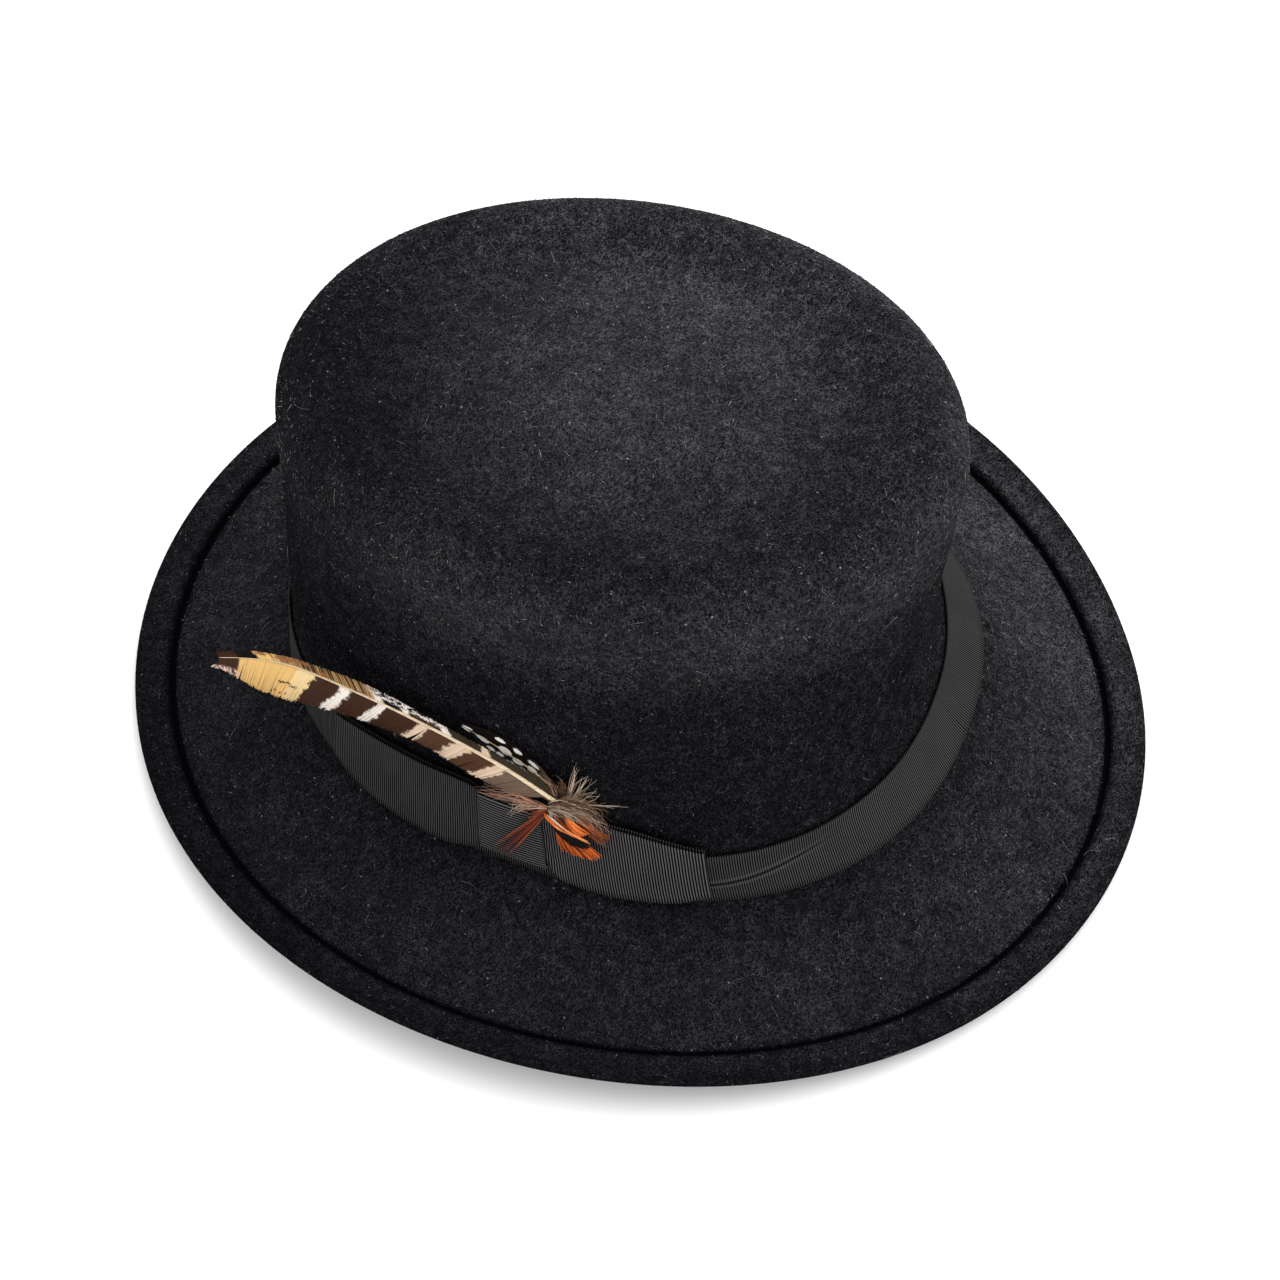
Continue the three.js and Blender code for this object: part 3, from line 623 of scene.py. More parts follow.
def fibre_material():
    """Loose hairs, from the felt's ground to near white by the tone of each hair, which carries the felt's
    painted shade on the nap.
    """
    felt = bpy.context.scene.hat_felt
    shader = Shader("loose_fibre", Roughness=0.8, Specular_IOR_Level=0.0)
    colors = [
        (0.0, tuple(felt.dark)), (0.5, tuple(c * 0.2 for c in felt.fibre)), (0.86, tuple(felt.fibre)),
        (0.97, (0.42, 0.4, 0.38)),
    ]
    color = shader.ramp(shader.tone(), colors)
    mottle = shader.noise(shader.place(), 3 * MM, 2.0, 0.6).ramp(0.3, 0.7)
    shader.feed(Base_Color=shader.blend(mottle * 0.5, color, tuple(felt.dark)))
    return shader.material


def ribbon_material(name, along, light=1.0, crease=None):
    """Grosgrain: ribs across the ribbon, one for each pitch along its UV, with a faint thread on each and
    painted shade in the valleys between them. The crests are scaled by light, a painted shade for a whole piece,
    and a crease gets a painted shadow and a painted highlight on its lip.
    """
    ribbon = bpy.context.scene.hat_ribbon
    shader = Shader(name, Roughness=0.7, Specular_IOR_Level=0.0)
    place = shader.place()
    across, rise = shader.uv()
    split = across if along == "X" else rise
    # Light crests and valleys painted dark, as shade between the ribs
    ribs = ((split * TURN).math("COSINE") * -0.5 + 0.5).ramp(0.36, 0.92)
    threads = shader.noise(place, 0.16 * MM, 2.0, 0.6)
    patches = shader.noise(place, 14 * MM, 2.0, 0.5).ramp(0.3, 0.7)
    # light scales the crests down, a painted shade for a whole piece
    crest = tuple(c * light for c in ribbon.color)
    color = shader.blend(ribs * (0.5 + 0.7 * threads), tuple(ribbon.valley), crest)
    color = shader.blend(patches * 0.2, color, (0.012, 0.012, 0.013))
    # Painted shadow along the lengthwise crease of the band, and a painted highlight on its lip
    if crease:
        start, end = crease
        far = (rise - 0.34 - 0.34 * split.ramp(start, end)).size()
        ends = split.ramp(start - 1, start) * (1.0 - split.ramp(mix(start, end, 0.5), end))
        color = shader.blend((1.0 - far.ramp(0.01, 0.035)) * ends * 0.75, color, tuple(ribbon.valley))
        # Painted highlight along the lip of the crease
        lip = 1.0 - (far - 0.06).size().ramp(0.0, 0.05)
        color = shader.blend(lip * ends * 0.25, color, (0.1, 0.1, 0.1))
    shader.feed(Base_Color=color)
    shader.bump(threads, 0.05 * MM, 0.6)
    return shader.material


class HAT_OT_felt_body(Operator):
    """Builds the crown and brim as one shell of felt, with its dented top and folded edge"""

    bl_idname = "hat.felt_body"
    bl_label = "Felt body"

    def execute(self, context):
        felt = context.scene.hat_felt
        form = HatForm()
        angle = np.linspace(0, TURN, felt.around, endpoint=False)
        outer = self.outer_rings(form, felt, angle)
        edge = self.edge_rings(form, felt, angle)
        offset_from = len(outer) - self.welt_rings - 6
        steps = np.gradient(outer, axis=0)
        rounds = np.roll(outer, -1, axis=1) - np.roll(outer, 1, axis=1)
        normals = unit(np.cross(steps, rounds))
        inner = (outer - normals * felt.wall)[offset_from:0:-1]
        rings = np.concatenate([outer, edge, inner])
        top = rings[1].mean(axis=0)
        top[2] = felt.crown_height - TOP_ROWS["drop"][0] * felt.dent_depth
        under = top - np.array([0, 0, felt.wall])
        rings[0] = top
        rings = np.concatenate([rings, np.broadcast_to(under, (1, felt.around, 3))])
        rings = np.concatenate([rings, rings[:, :1]], axis=1)
        last = len(rings) - 1

        def place(u, v):
            return rings[np.rint(v * last).astype(int), np.rint(u * felt.around).astype(int)]

        piece = wrapped_grid("felt_shell", felt.around, last, place, outward=(0, 0, 1))
        smoothing = piece.modifiers.new("smoothing", "SUBSURF")
        smoothing.levels = smoothing.render_levels = 1
        stretch_uvs(piece, 1, last)
        finish_piece(piece, "felt", felt_material(last), "felt_body")
        return {"FINISHED"}

    def outer_rings(self, form, felt, angle):
        """Rings of the outer skin, from the middle of the top to the nose of the edge."""
        rings = []
        flat = np.full_like(angle, math.pi / 2)
        rim = form.shoulder(angle, flat)
        for out in np.linspace(0, 1, 15)[:-1]:
            drop = smooth_rows(TOP_ROWS, "out", out, "drop")
            height = felt.crown_height + felt.crown_pitch * np.cos(angle) * out - felt.dent_depth * drop
            rings.append(points(mix(-felt.top_lean, rim[:, 0], out), rim[:, 1] * out, height))
        for share in np.linspace(1, 0, 8):
            rings.append(form.shoulder(angle, flat * share))
        for share in np.linspace(1, 0, 18)[1:]:
            rings.append(form.wall(angle, form.wall_height(angle) * share))
        span = form.brim_span(angle) - felt.welt - felt.groove_width
        foot = form.crown_base(angle)[:, 2]
        low = form.low_line(angle)
        for out in np.linspace(0, 1, 13)[1:]:
            drop = smooth_rows(BRIM_ROWS, "out", out, "drop")
            inward = form.brim_span(angle) - span * out
            rings.append(form.brim(angle, inward, mix(foot, low + felt.wall, drop)))
        floor = low + felt.wall - felt.groove_depth
        rings.append(form.brim(angle, felt.welt + 0.9 * felt.groove_width, floor + 0.5 * felt.groove_depth))
        rings.append(form.brim(angle, felt.welt + 0.6 * felt.groove_width, floor))
        rings.append(form.brim(angle, felt.welt + 0.3 * felt.groove_width, floor))
        rings.append(form.brim(angle, felt.welt + 0.05 * felt.groove_width, low + 1.3 * felt.wall))
        rings.append(form.brim(angle, felt.welt - 0.4 * felt.wall, low + 2 * felt.wall))
        steps = np.linspace(0, 1, 7)[1:-1]
        self.welt_rings = len(steps) + 4
        for out in steps:
            rise = form.curl(angle) * smooth_rows(WELT_ROWS, "out", out, "curl")
            rings.append(form.brim(angle, felt.welt * (1 - out), low + 2 * felt.wall + rise))
        return np.array(rings)

    def edge_rings(self, form, felt, angle):
        """The nose of the folded edge and its underside."""
        rings = []
        low = form.low_line(angle)
        for tilt in np.radians([65, 40, 12, -12, -40, -65]):
            inward = felt.wall * (1 - math.cos(tilt))
            height = low + felt.wall + form.curl(angle) + felt.wall * math.sin(tilt)
            rings.append(form.brim(angle, inward, height))
        for out in np.linspace(1, 0, 6)[1:]:
            rise = form.curl(angle) * smooth_rows(WELT_ROWS, "out", out, "curl")
            rings.append(form.brim(angle, felt.welt * (1 - out), low + rise))
        rings.append(form.brim(angle, felt.welt + 5 * MM, low))
        return np.array(rings)


class HAT_OT_nap(Operator):
    """Scatters the felt's loose fibres and lint over its outer skin"""

    bl_idname = "hat.nap"
    bl_label = "Nap"

    crown_from = 40 * MM
    table_gap = 0.3 * MM
    widths = (0.05 * MM, 0.17 * MM)
    lean = (0.2, -0.1, -0.35)
    lint_count = 44
    lint_lengths = (2 * MM, 6 * MM)
    lint_width = 0.08 * MM

    def execute(self, context):
        felt = context.scene.hat_felt
        mesh = bpy.data.objects["felt_shell"].data
        material = fibre_material()
        mesh.calc_loop_triangles()
        uvs = read(mesh.uv_layers.active.data, "uv", 2)
        ring = uvs[:, 1][read(mesh.loop_triangles, "loops", 3, int)].mean(axis=1)
        triangles = read(mesh.vertices, "co", 3)[read(mesh.loop_triangles, "vertices", 3, int)]
        cross = np.cross(triangles[:, 1] - triangles[:, 0], triangles[:, 2] - triangles[:, 0])
        area = np.linalg.norm(cross, axis=1) / 2
        normals = unit(cross)
        centres = triangles.mean(axis=1)
        radial = np.sum(centres * normals * (1, 1, 0), axis=1)
        # The felt's painted light and shade: in its painted shade the fibres are darker, shorter and flatter,
        # and fewer lint hairs fall there
        light = painted_felt_shade(ring, centres[:, 1])
        outside = ((normals[:, 2] > 0.15) | (radial > 0)) & (centres[:, 2] > 1.5 * MM)
        outside &= (ring < PART_RINGS["groove"][0]) | (ring > PART_RINGS["groove"][1])
        crown = outside & (centres[:, 2] > self.crown_from)
        brim = outside & (centres[:, 2] <= self.crown_from) & (normals[:, 2] > -0.1)
        for seed, (name, chosen) in enumerate((("nap_crown", crown), ("nap_brim", brim))):
            count = felt.nap_count
            rng = np.random.default_rng(seed + 7)
            odds = np.where(chosen, area, 0)
            picks = rng.choice(len(area), count, p=odds / odds.sum())
            weights = rng.dirichlet((1, 1, 1), count)
            roots = np.einsum("nij,ni->nj", triangles[picks], weights)
            lean = rng.normal(0, 1, (count, 3)) + np.array(self.lean)
            normal = normals[picks]
            lean = unit(lean - normal * np.sum(lean * normal, axis=1, keepdims=True))
            stand = rng.uniform(0.02, 0.35, (count, 1)) * np.clip(light[picks] * 1.4, 0.15, 1)[:, None]
            direction = unit(lean + normal * stand)
            length = felt.nap_length * rng.gamma(3.0, 0.35, count) * np.clip(light[picks] * 1.3, 0.5, 1)
            tones = rng.uniform(0, 1, count) ** (1 / np.clip(light[picks], 0.2, 1))
            width = rng.uniform(*self.widths, count)
            tips = roots + direction * length[:, None]
            tips[:, 2] = np.maximum(tips[:, 2], self.table_gap)
            piece = joined_slivers(name, roots - normal * 0.05 * MM, tips, width, tones)
            finish_piece(piece, "felt", material)
            self.lint(name.replace("nap", "lint"), triangles, normals, odds * light, rng, material)
        return {"FINISHED"}

    def lint(self, name, triangles, normals, odds, rng, material):
        """A few long loose hairs that curl over the felt."""
        count = self.lint_count
        picks = rng.choice(len(odds), count, p=odds / odds.sum())
        normal = normals[picks]
        ahead = unit(np.cross(normal, rng.normal(0, 1, (count, 3))))
        beside = np.cross(normal, ahead)
        length = rng.uniform(*self.lint_lengths, count)
        w = np.linspace(0, 1, 7)[None, :, None]
        curl = rng.normal(0, 0.3, (count, 1, 1))
        path = triangles[picks].mean(axis=1)[:, None] + length[:, None, None] * (
            ahead[:, None] * w + beside[:, None] * curl * np.sin(math.pi * w) + beside[:, None] * curl * w**3
        )
        path = path + normal[:, None] * (0.25 + 0.35 * np.sin(math.pi * w)) * MM
        tangent = unit(np.gradient(path, axis=1))
        up = np.broadcast_to(normal[:, None], path.shape)
        sides = unit(np.cross(up, tangent))
        widths = np.broadcast_to(self.lint_width * np.linspace(1, 0.4, 7), path.shape[:2])
        tones = rng.uniform(0.7, 0.96, count)
        piece = joined_strands(name, path, sides, np.cross(tangent, sides), widths, 0.06 * MM, None, tones)
        finish_piece(piece, "felt", material)


def scallop(share, crest, depth):
    """How far the ribs stand past the two long edges of a ribbon."""
    return depth * crest * np.where(share < 0.01, -1, np.where(share > 0.99, 1, 0))


def rib_wave(ribs):
    """0 in the valleys between ribs and 1 on their crests."""
    return np.sqrt(np.abs(np.sin(math.pi * ribs)))


class HAT_OT_band(Operator):
    """Wraps the ribbed band around the foot of the crown"""

    bl_idname = "hat.band"
    bl_label = "Band"
    samples = 6

    def execute(self, context):
        ribbon = context.scene.hat_ribbon
        form = HatForm()
        fine = np.linspace(0, TURN, 2001)
        foot = form.wall(fine, np.full_like(fine, ribbon.band_width / 2))
        run = np.concatenate([[0], np.cumsum(np.linalg.norm(np.diff(foot, axis=0), axis=1))])
        ribs = round(run[-1] / ribbon.band_rib_pitch)

        def place(u, v):
            angle = np.interp(u * run[-1], run, fine)
            crest = rib_wave(u * ribs)
            top = self.top(form, ribbon, angle)
            height = mix(ribbon.band_foot, top, v) + scallop(v, crest, 0.14 * MM)
            out = ribbon.clearance + ribbon.band_thickness * 0.75 + ribbon.rib_height * 0.7 * (crest - 0.5)
            return form.off_wall(angle, height, out + self.fold(angle, v))

        piece = wrapped_grid("grosgrain_band", ribs * self.samples, 8, place, outward=(0, 0, 0))
        self.turn_outward(piece)
        wall = piece.modifiers.new("wall", "SOLIDIFY")
        wall.thickness = ribbon.band_thickness * 0.6
        wall.offset = -1
        stretch_uvs(piece, 0, ribs)
        crease = self.crease_ribs(form, ribbon, run, fine, ribs)
        # The band's ribbon is painted darker, at 0.66, as shade
        finish_piece(piece, "ribbon", ribbon_material("band_grosgrain", "X", 0.66, crease), "band")
        return {"FINISHED"}

    def top(self, form, ribbon, angle):
        height = np.full_like(angle, ribbon.band_width)
        foot = form.wall(angle, np.full_like(angle, ribbon.band_foot))
        for _ in range(3):
            reach = np.linalg.norm(form.wall(angle, height) - foot, axis=-1)
            height = mix(ribbon.band_foot, height, ribbon.band_width / reach)
        return height

    def fold(self, angle, v):
        """The lengthwise crease in front of the bow, and the upper edge that stands off the crown."""
        near = np.exp(-(((np.degrees(angle) - 305) / 16) ** 2))
        crease = near * 0.45 * MM / (1 + np.exp((v - 0.5) * 40))
        ahead = np.maximum(0, np.cos(angle + math.radians(25)))
        return crease + 0.7 * MM * ahead * v**2

    def crease_ribs(self, form, ribbon, run, fine, ribs):
        """The ribs where the lengthwise crease starts, at the front loop's end, and where it fades out."""
        angle = float(form.angle_at(np.array(ribbon.front_loop))) % TURN
        start = float(np.interp(angle, fine, run)) / run[-1] * ribs
        return start, start + 60

    def turn_outward(self, piece):
        mesh = piece.data
        first = mesh.polygons[len(mesh.polygons) // 2]
        outward = first.center.copy()
        outward.z = 0
        if first.normal.dot(outward) < 0:
            mesh.flip_normals()


class HAT_OT_bow(Operator):
    """Builds the two loops of the bow and the knot over them"""

    bl_idname = "hat.bow"
    bl_label = "Bow"

    def execute(self, context):
        ribbon = context.scene.hat_ribbon
        self.form = HatForm()
        self.ribbon = ribbon
        self.back = 2 * ribbon.clearance + ribbon.band_thickness
        self.depth = 2 * ribbon.ribbon_thickness + ribbon.loop_opening
        self.loop("grosgrain_loop_front", "bow_loop_front", FRONT_LOOP_ROWS, ribbon.front_loop, 1)
        self.loop("grosgrain_loop_back", "bow_loop_back", BACK_LOOP_ROWS, ribbon.back_loop, -1)
        self.knot()
        return {"FINISHED"}

    def loop(self, name, node, rows, length, side):
        ribbon = self.ribbon
        half = ribbon.knot_width / 2
        bend = (ribbon.loop_opening + ribbon.ribbon_thickness) / 2
        start = 1.2 * MM
        straight = length - start
        turn = math.pi * bend
        total = 2 * straight + turn
        ribs = round(total / ribbon.rib_pitch)

        def place(u, v):
            s = u * total
            tilt = np.clip((s - straight) / turn, 0, 1) * math.pi - math.pi / 2
            coming = np.where(s > straight + turn, start + total - s, length)
            run = np.where(s < straight, start + s, coming)
            share = np.clip((run - half) / (length - half), 0, 1)
            low = smooth_rows(rows, "along", share, "low")
            high = smooth_rows(rows, "along", share, "high")
            crest = rib_wave(u * ribs)
            height = mix(low, high, v) * ribbon.ribbon_width + scallop(v, crest, 0.14 * MM)
            thick = 0.1 * MM + ribbon.rib_height * (crest - 0.5)
            middle = self.back + self.depth / 2
            out = middle + (bend + thick) * np.sin(tilt)
            past = (bend + thick) * np.cos(tilt)
            gather = np.exp(-((share / 0.1) ** 2))
            pleat = gather * 0.18 * MM * np.sin(v * 6 * math.pi) * np.sign(np.sin(tilt))
            return self.form.off_wall(self.form.angle_at(side * (run + past)), height, out + pleat)

        piece = wrapped_grid(name, ribs * 6, 12, place, close=False)
        self.solid(piece)
        stretch_uvs(piece, 0, ribs)
        # The back loop is painted darker, at 0.7, as shade
        finish_piece(piece, "ribbon", ribbon_material(name, "X", 1.0 if side > 0 else 0.7), node)

    def knot(self):
        ribbon = self.ribbon
        low = ribbon.knot_low * ribbon.ribbon_width
        high = ribbon.knot_high * ribbon.ribbon_width
        front = self.back + self.depth + ribbon.clearance + ribbon.ribbon_thickness * 0.8
        corner = 0.7 * MM
        arc = corner * math.pi / 2
        legs = [front - self.back - corner, arc, high - low - 2 * corner, arc, front - ribbon.clearance - corner]
        ends = np.concatenate([[0], np.cumsum(legs)])
        ribs = round(ends[-1] / ribbon.knot_rib_pitch)

        def place(u, v):
            s = v * ends[-1]
            crest = rib_wave(v * ribs)
            lower_turn = np.clip((s - ends[1]) / legs[1], 0, 1) * math.pi / 2
            upper_turn = np.clip((s - ends[3]) / legs[3], 0, 1) * math.pi / 2
            height = (
                low + corner - corner * np.cos(lower_turn) + np.clip(s - ends[2], 0, legs[2])
                + corner * np.sin(upper_turn)
            )
            out = (
                self.back + np.clip(s, 0, legs[0]) + corner * np.sin(lower_turn)
                - corner * (1 - np.cos(upper_turn)) - np.clip(s - ends[4], 0, legs[4])
            )
            on_front = np.clip((s - ends[1]) / 2 / MM, 0, 1) * np.clip((ends[4] - s) / 2 / MM, 0, 1)
            across = 2 * u - 1
            bulge = ribbon.knot_bulge * on_front * np.cos(across * math.pi / 2)
            run = across * ribbon.knot_width / 2 * (1 - 0.03 * on_front) + scallop(u, crest, 0.12 * MM)
            rib = ribbon.rib_height * (crest - 0.5) * on_front
            return self.form.off_wall(self.form.angle_at(run), height, out + bulge + rib)

        piece = wrapped_grid("grosgrain_knot", 24, ribs * 6, place, close=False)
        self.solid(piece)
        stretch_uvs(piece, 1, ribs)
        finish_piece(piece, "ribbon", ribbon_material("knot_grosgrain", "Y"), "bow_knot")

    def solid(self, piece):
        wall = piece.modifiers.new("wall", "SOLIDIFY")
        wall.thickness = self.ribbon.ribbon_thickness * 0.6
        wall.offset = -1
        self.face_out(piece)

    def face_out(self, piece):
        """Turns the ribbon's outer side away from the crown, read where it lies furthest out."""
        mesh = piece.data
        outer = min(mesh.polygons, key=lambda one: one.center.y)
        if outer.normal.y > 0:
            mesh.flip_normals()


class FeatherForm:
    """The line of one feather's shaft, and the barbs that grow from it."""

    def __init__(self, rows, length, width, centres, face):
        self.rows = rows
        self.length = length
        self.width = width
        self.centres = centres
        self.face = face

    def reach(self, share, column):
        return smooth_rows(self.rows, "run", share, column) * self.width

    def axes(self, share):
        step = 0.004
        along = unit(self.centres(share + step) - self.centres(share - step))
        across = unit(np.cross(along, self.face))
        return along, across, np.cross(across, along)

    def barbs(self, side, roots, steps, slant, rng, splits=()):
        """Paths of the barbs on one side, each slanting towards the tip, with its directions and UVs."""
        column = "upper" if side > 0 else "lower"
        reach = self.reach(roots, column)
        for _ in range(10):
            reach = (reach + self.reach(roots + slant * reach / self.length, column)) / 2
        reach = (reach * rng.uniform(0.94, 1.03, len(roots)))[:, None]
        w = np.linspace(0, 1, steps)
        share = roots[:, None] + slant * reach * w**1.2 / self.length
        for place, opening in splits:
            apart = (roots[:, None] - place) / 0.012
            share = share + opening * w**1.5 * np.sign(apart) * np.exp(-np.abs(apart))
        along, across, normal = self.axes(share)
        lift = rng.normal(0, 0.06 * MM, (len(roots), 1)) * w - 0.1 * reach * w**2
        paths = self.centres(share) + across * (side * reach * w)[..., None] + normal * lift[..., None]
        sides = unit(np.cross(normal, np.gradient(paths, axis=1)))
        uvs = np.stack(np.broadcast_arrays(roots[:, None], 0.5 + side * w / 2), axis=-1)
        return paths, sides, normal, uvs

    def vane(self, name, per_side, steps, first, last, slant, barb_width, seed, splits=()):
        """Both sides of the vane as one mesh of barbs."""
        rng = np.random.default_rng(seed)
        halves = []
        for side in (-1, 1):
            roots = np.linspace(first, last, per_side) + rng.normal(0, 0.0005, per_side)
            halves.append(self.barbs(side, roots, steps, slant, rng, splits if side < 0 else ()))
        paths, sides, normals, uvs = (np.concatenate(both) for both in zip(*halves))
        taper = np.linspace(1, 0.55, steps) * barb_width
        widths = np.broadcast_to(taper, paths.shape[:2])
        tones = rng.uniform(0, 1, len(paths))
        return joined_strands(name, paths, sides, normals, widths, 0.12 * MM, uvs, tones)

    def shaft(self, name, first, last, thickness, proud):
        """A round shaft that thins towards the tip and ends in a point."""

        def place(u, v):
            share = mix(first, last, v)
            along, across, normal = self.axes(share)
            ends = np.sqrt(np.clip(np.minimum(v, 1 - v) * 60, 0, 1))
            radius = thickness / 2 * np.clip(1.05 - v, 0.16, 1) * ends
            turn = (u * TURN)[:, None]
            ring = across * np.cos(turn) + normal * np.sin(turn)
            return self.centres(share) + normal * proud + ring * radius[:, None]

        return wrapped_grid(name, 10, 90, place)


def barred_form(form):
    """The long feather leaves the crown's side towards the back, in front of the bow."""
    feather = bpy.context.scene.hat_feather
    root = form.beside(feather.root_run, feather.root_rise, feather.root_out)

    def centres(share):
        out = smooth_rows(FEATHER_ROWS, "run", share, "out")
        rise = smooth_rows(FEATHER_ROWS, "run", share, "rise")
        return root + points(-share, -out, rise) * feather.length

    face = np.array([0, -math.cos(feather.tilt), math.sin(feather.tilt)])
    return FeatherForm(FEATHER_ROWS, feather.length, feather.width, centres, face)


def spotted_form(form):
    """The short feather lies flat on the crown behind the long one."""
    feather = bpy.context.scene.hat_feather
    out = form.ribbon.clearance + 0.7 * MM
    start = feather.root_rise - 2.5 * MM

    def centres(share):
        run = feather.root_run - 3 * MM - share * feather.spotted_length
        rise = start + smooth_rows(SPOTTED_ROWS, "run", share, "rise") * feather.spotted_length
        return form.beside(run, rise, out)

    face = form.wall_normal(form.angle_at(np.array(0.0)), np.array(start))
    return FeatherForm(SPOTTED_ROWS, feather.spotted_length, feather.spotted_width, centres, face)


def paint(red, green, blue):
    """Linear colour of a paint given by its 0 to 255 screen values."""
    shares = [c / 255 for c in (red, green, blue)]
    return tuple(c / 12.92 if c < 0.0405 else ((c + 0.055) / 1.055) ** 2.4 for c in shares)


DARK_BROWN = paint(58, 34, 21)
WARM_BROWN = paint(76, 50, 33)
GREY_BROWN = paint(106, 88, 74)
OLIVE = paint(52, 44, 32)
WHITE = paint(226, 217, 208)
CREAM = paint(208, 184, 160)
GOLD = paint(218, 178, 112)
PALE_GOLD = paint(226, 198, 146)
TAN = paint(178, 140, 92)
PINK_BROWN = paint(88, 56, 44)
BLACK = paint(12, 9, 8)

# Bars of the long feather: where each colour starts, as a share of the shaft's length
LOWER_BARS = [
    (0.0, GREY_BROWN), (0.114, CREAM), (0.149, WARM_BROWN), (0.215, CREAM), (0.26, WARM_BROWN),
    (0.331, CREAM), (0.362, DARK_BROWN), (0.456, WHITE), (0.484, DARK_BROWN), (0.558, WHITE),
    (0.59, DARK_BROWN), (0.665, PALE_GOLD), (0.72, GOLD), (0.9, PINK_BROWN),
]
UPPER_BARS = [
    (0.0, OLIVE), (0.165, CREAM), (0.19, OLIVE), (0.275, WHITE), (0.3, DARK_BROWN), (0.39, WHITE),
    (0.415, BLACK), (0.47, WHITE), (0.49, TAN), (0.78, GOLD), (0.845, BLACK),
]


def hard_stops(bars, soft):
    """Ramp stops for bars of colour that change within a short share of the length."""
    stops = []
    for i, (start, color) in enumerate(bars):
        stops.append((start, color))
        end = bars[i + 1][0] if i + 1 < len(bars) else 1.0
        stops.append((end - soft, color))
    return stops


def oval_spots(u, v, spots):
    """1 inside any of a few ovals, given by their middle and half sizes in UV."""
    total = None
    for middle_u, middle_v, half_u, half_v in spots:
        away = ((u - middle_u) * (1 / half_u)) ** 2.0 + ((v - middle_v) * (1 / half_v)) ** 2.0
        inside = 1.0 - away.ramp(0.75, 1.1)
        total = inside if total is None else total.math("MAXIMUM", inside)
    return total


def vane_parts(name):
    """A shader for barbs, with its UV shares and the tone of each barb."""
    shader = Shader(name, Roughness=0.5, Specular_IOR_Level=0.06)
    return shader, *shader.uv(), shader.tone()


def barred_material():
    """Brown and white bars, a golden end and a dark tip, drawn along the barbs."""
    shader, u, v, tone = vane_parts("barred_vane")
    place = shader.place()
    wobble = (shader.noise(place, 1.7 * MM, 3.0, 0.6) - 0.5) * 0.036 + (tone - 0.5) * 0.003
    along = u + wobble
    lower = shader.ramp(along, hard_stops(LOWER_BARS, 0.005))
    upper = shader.ramp(along, hard_stops(UPPER_BARS, 0.006))
    color = shader.blend(v.ramp(0.495, 0.505), lower, upper)
    gaps = tone.ramp(0.34, 0.46) * v.ramp(0.53, 0.6) * u.ramp(0.48, 0.51) * (1.0 - u.ramp(0.74, 0.8))
    color = shader.blend(gaps * 0.9, color, BLACK)
    fringe = v.ramp(0.66, 0.8) * (1.0 - u.ramp(0.46, 0.52)) * u.ramp(0.26, 0.34)
    streak = shader.noise(shader.stretched(place, (0.25, 1.0, 1.0)), 0.45 * MM, 2.0, 0.6).ramp(0.45, 0.55)
    color = shader.blend(fringe, color, shader.blend(streak, BLACK, WHITE))
    specks = [
        (0.744, 0.235, 0.014, 0.018), (0.723, 0.24, 0.012, 0.014), (0.7, 0.21, 0.016, 0.014),
        (0.767, 0.04, 0.004, 0.02), (0.757, 0.09, 0.004, 0.02), (0.733, 0.07, 0.004, 0.018),
        (0.712, 0.09, 0.003, 0.02), (0.667, 0.33, 0.004, 0.02), (0.543, 0.52, 0.012, 0.06),
    ]
    color = shader.blend(oval_spots(u, v, specks) * 0.85, color, BLACK)
    rusty = [
        (0.821, 0.9, 0.02, 0.1), (0.755, 0.8, 0.03, 0.12), (0.7, 0.88, 0.03, 0.1), (0.64, 0.7, 0.02, 0.1),
    ]
    color = shader.blend(oval_spots(u, v, rusty) * 0.7, color, paint(150, 92, 58))
    blots = shader.noise(place, 0.9 * MM, 2.0, 0.5).ramp(0.4, 0.52)
    pale_edge = (1.0 - v.ramp(0.12, 0.2)) * u.ramp(0.87, 0.9) * blots
    color = shader.blend(pale_edge, color, paint(222, 196, 184))
    dark_tip = u.ramp(0.895, 0.91) * v.ramp(0.18, 0.24)
    color = shader.blend(dark_tip, color, DARK_BROWN)
    near_shaft = (v - 0.5).size().ramp(0.0, 0.05)
    shade = 0.74 + 0.26 * near_shaft
    shade = shade * (0.9 + 0.22 * tone) * (0.9 + 0.2 * shader.noise(place, 0.25 * MM, 2.0, 0.6))
    shader.feed(Base_Color=shader.shaded(color, shade))
    return shader.material


def spotted_material():
    """Near black with white ovals, and a grey brown root."""
    shader, u, v, tone = vane_parts("spotted_vane")
    spots = [
        (0.72, 0.4, 0.08, 0.15), (0.47, 0.53, 0.08, 0.16), (0.31, 0.42, 0.055, 0.13), (0.18, 0.5, 0.05, 0.13),
        (0.6, 0.16, 0.06, 0.1), (0.48, 0.2, 0.05, 0.1), (0.34, 0.14, 0.05, 0.08), (0.22, 0.2, 0.05, 0.08),
        (0.2, 0.78, 0.05, 0.09), (0.36, 0.82, 0.05, 0.08), (0.56, 0.84, 0.06, 0.07), (0.9, 0.62, 0.05, 0.1),
        (0.92, 0.3, 0.05, 0.1),
    ]
    slanted = u + (v - 0.5).size() * 0.2
    mask = oval_spots(slanted + (tone - 0.5) * 0.012, v, spots)
    color = shader.blend(mask, BLACK, paint(252, 248, 242))
    root = 1.0 - u.ramp(0.02, 0.14)
    color = shader.blend(root, color, GREY_BROWN)
    streak = shader.noise(shader.place(), 0.3 * MM, 2.0, 0.6)
    shader.feed(Base_Color=shader.blend((streak - 0.35) * 0.15, color, GREY_BROWN))
    return shader.material


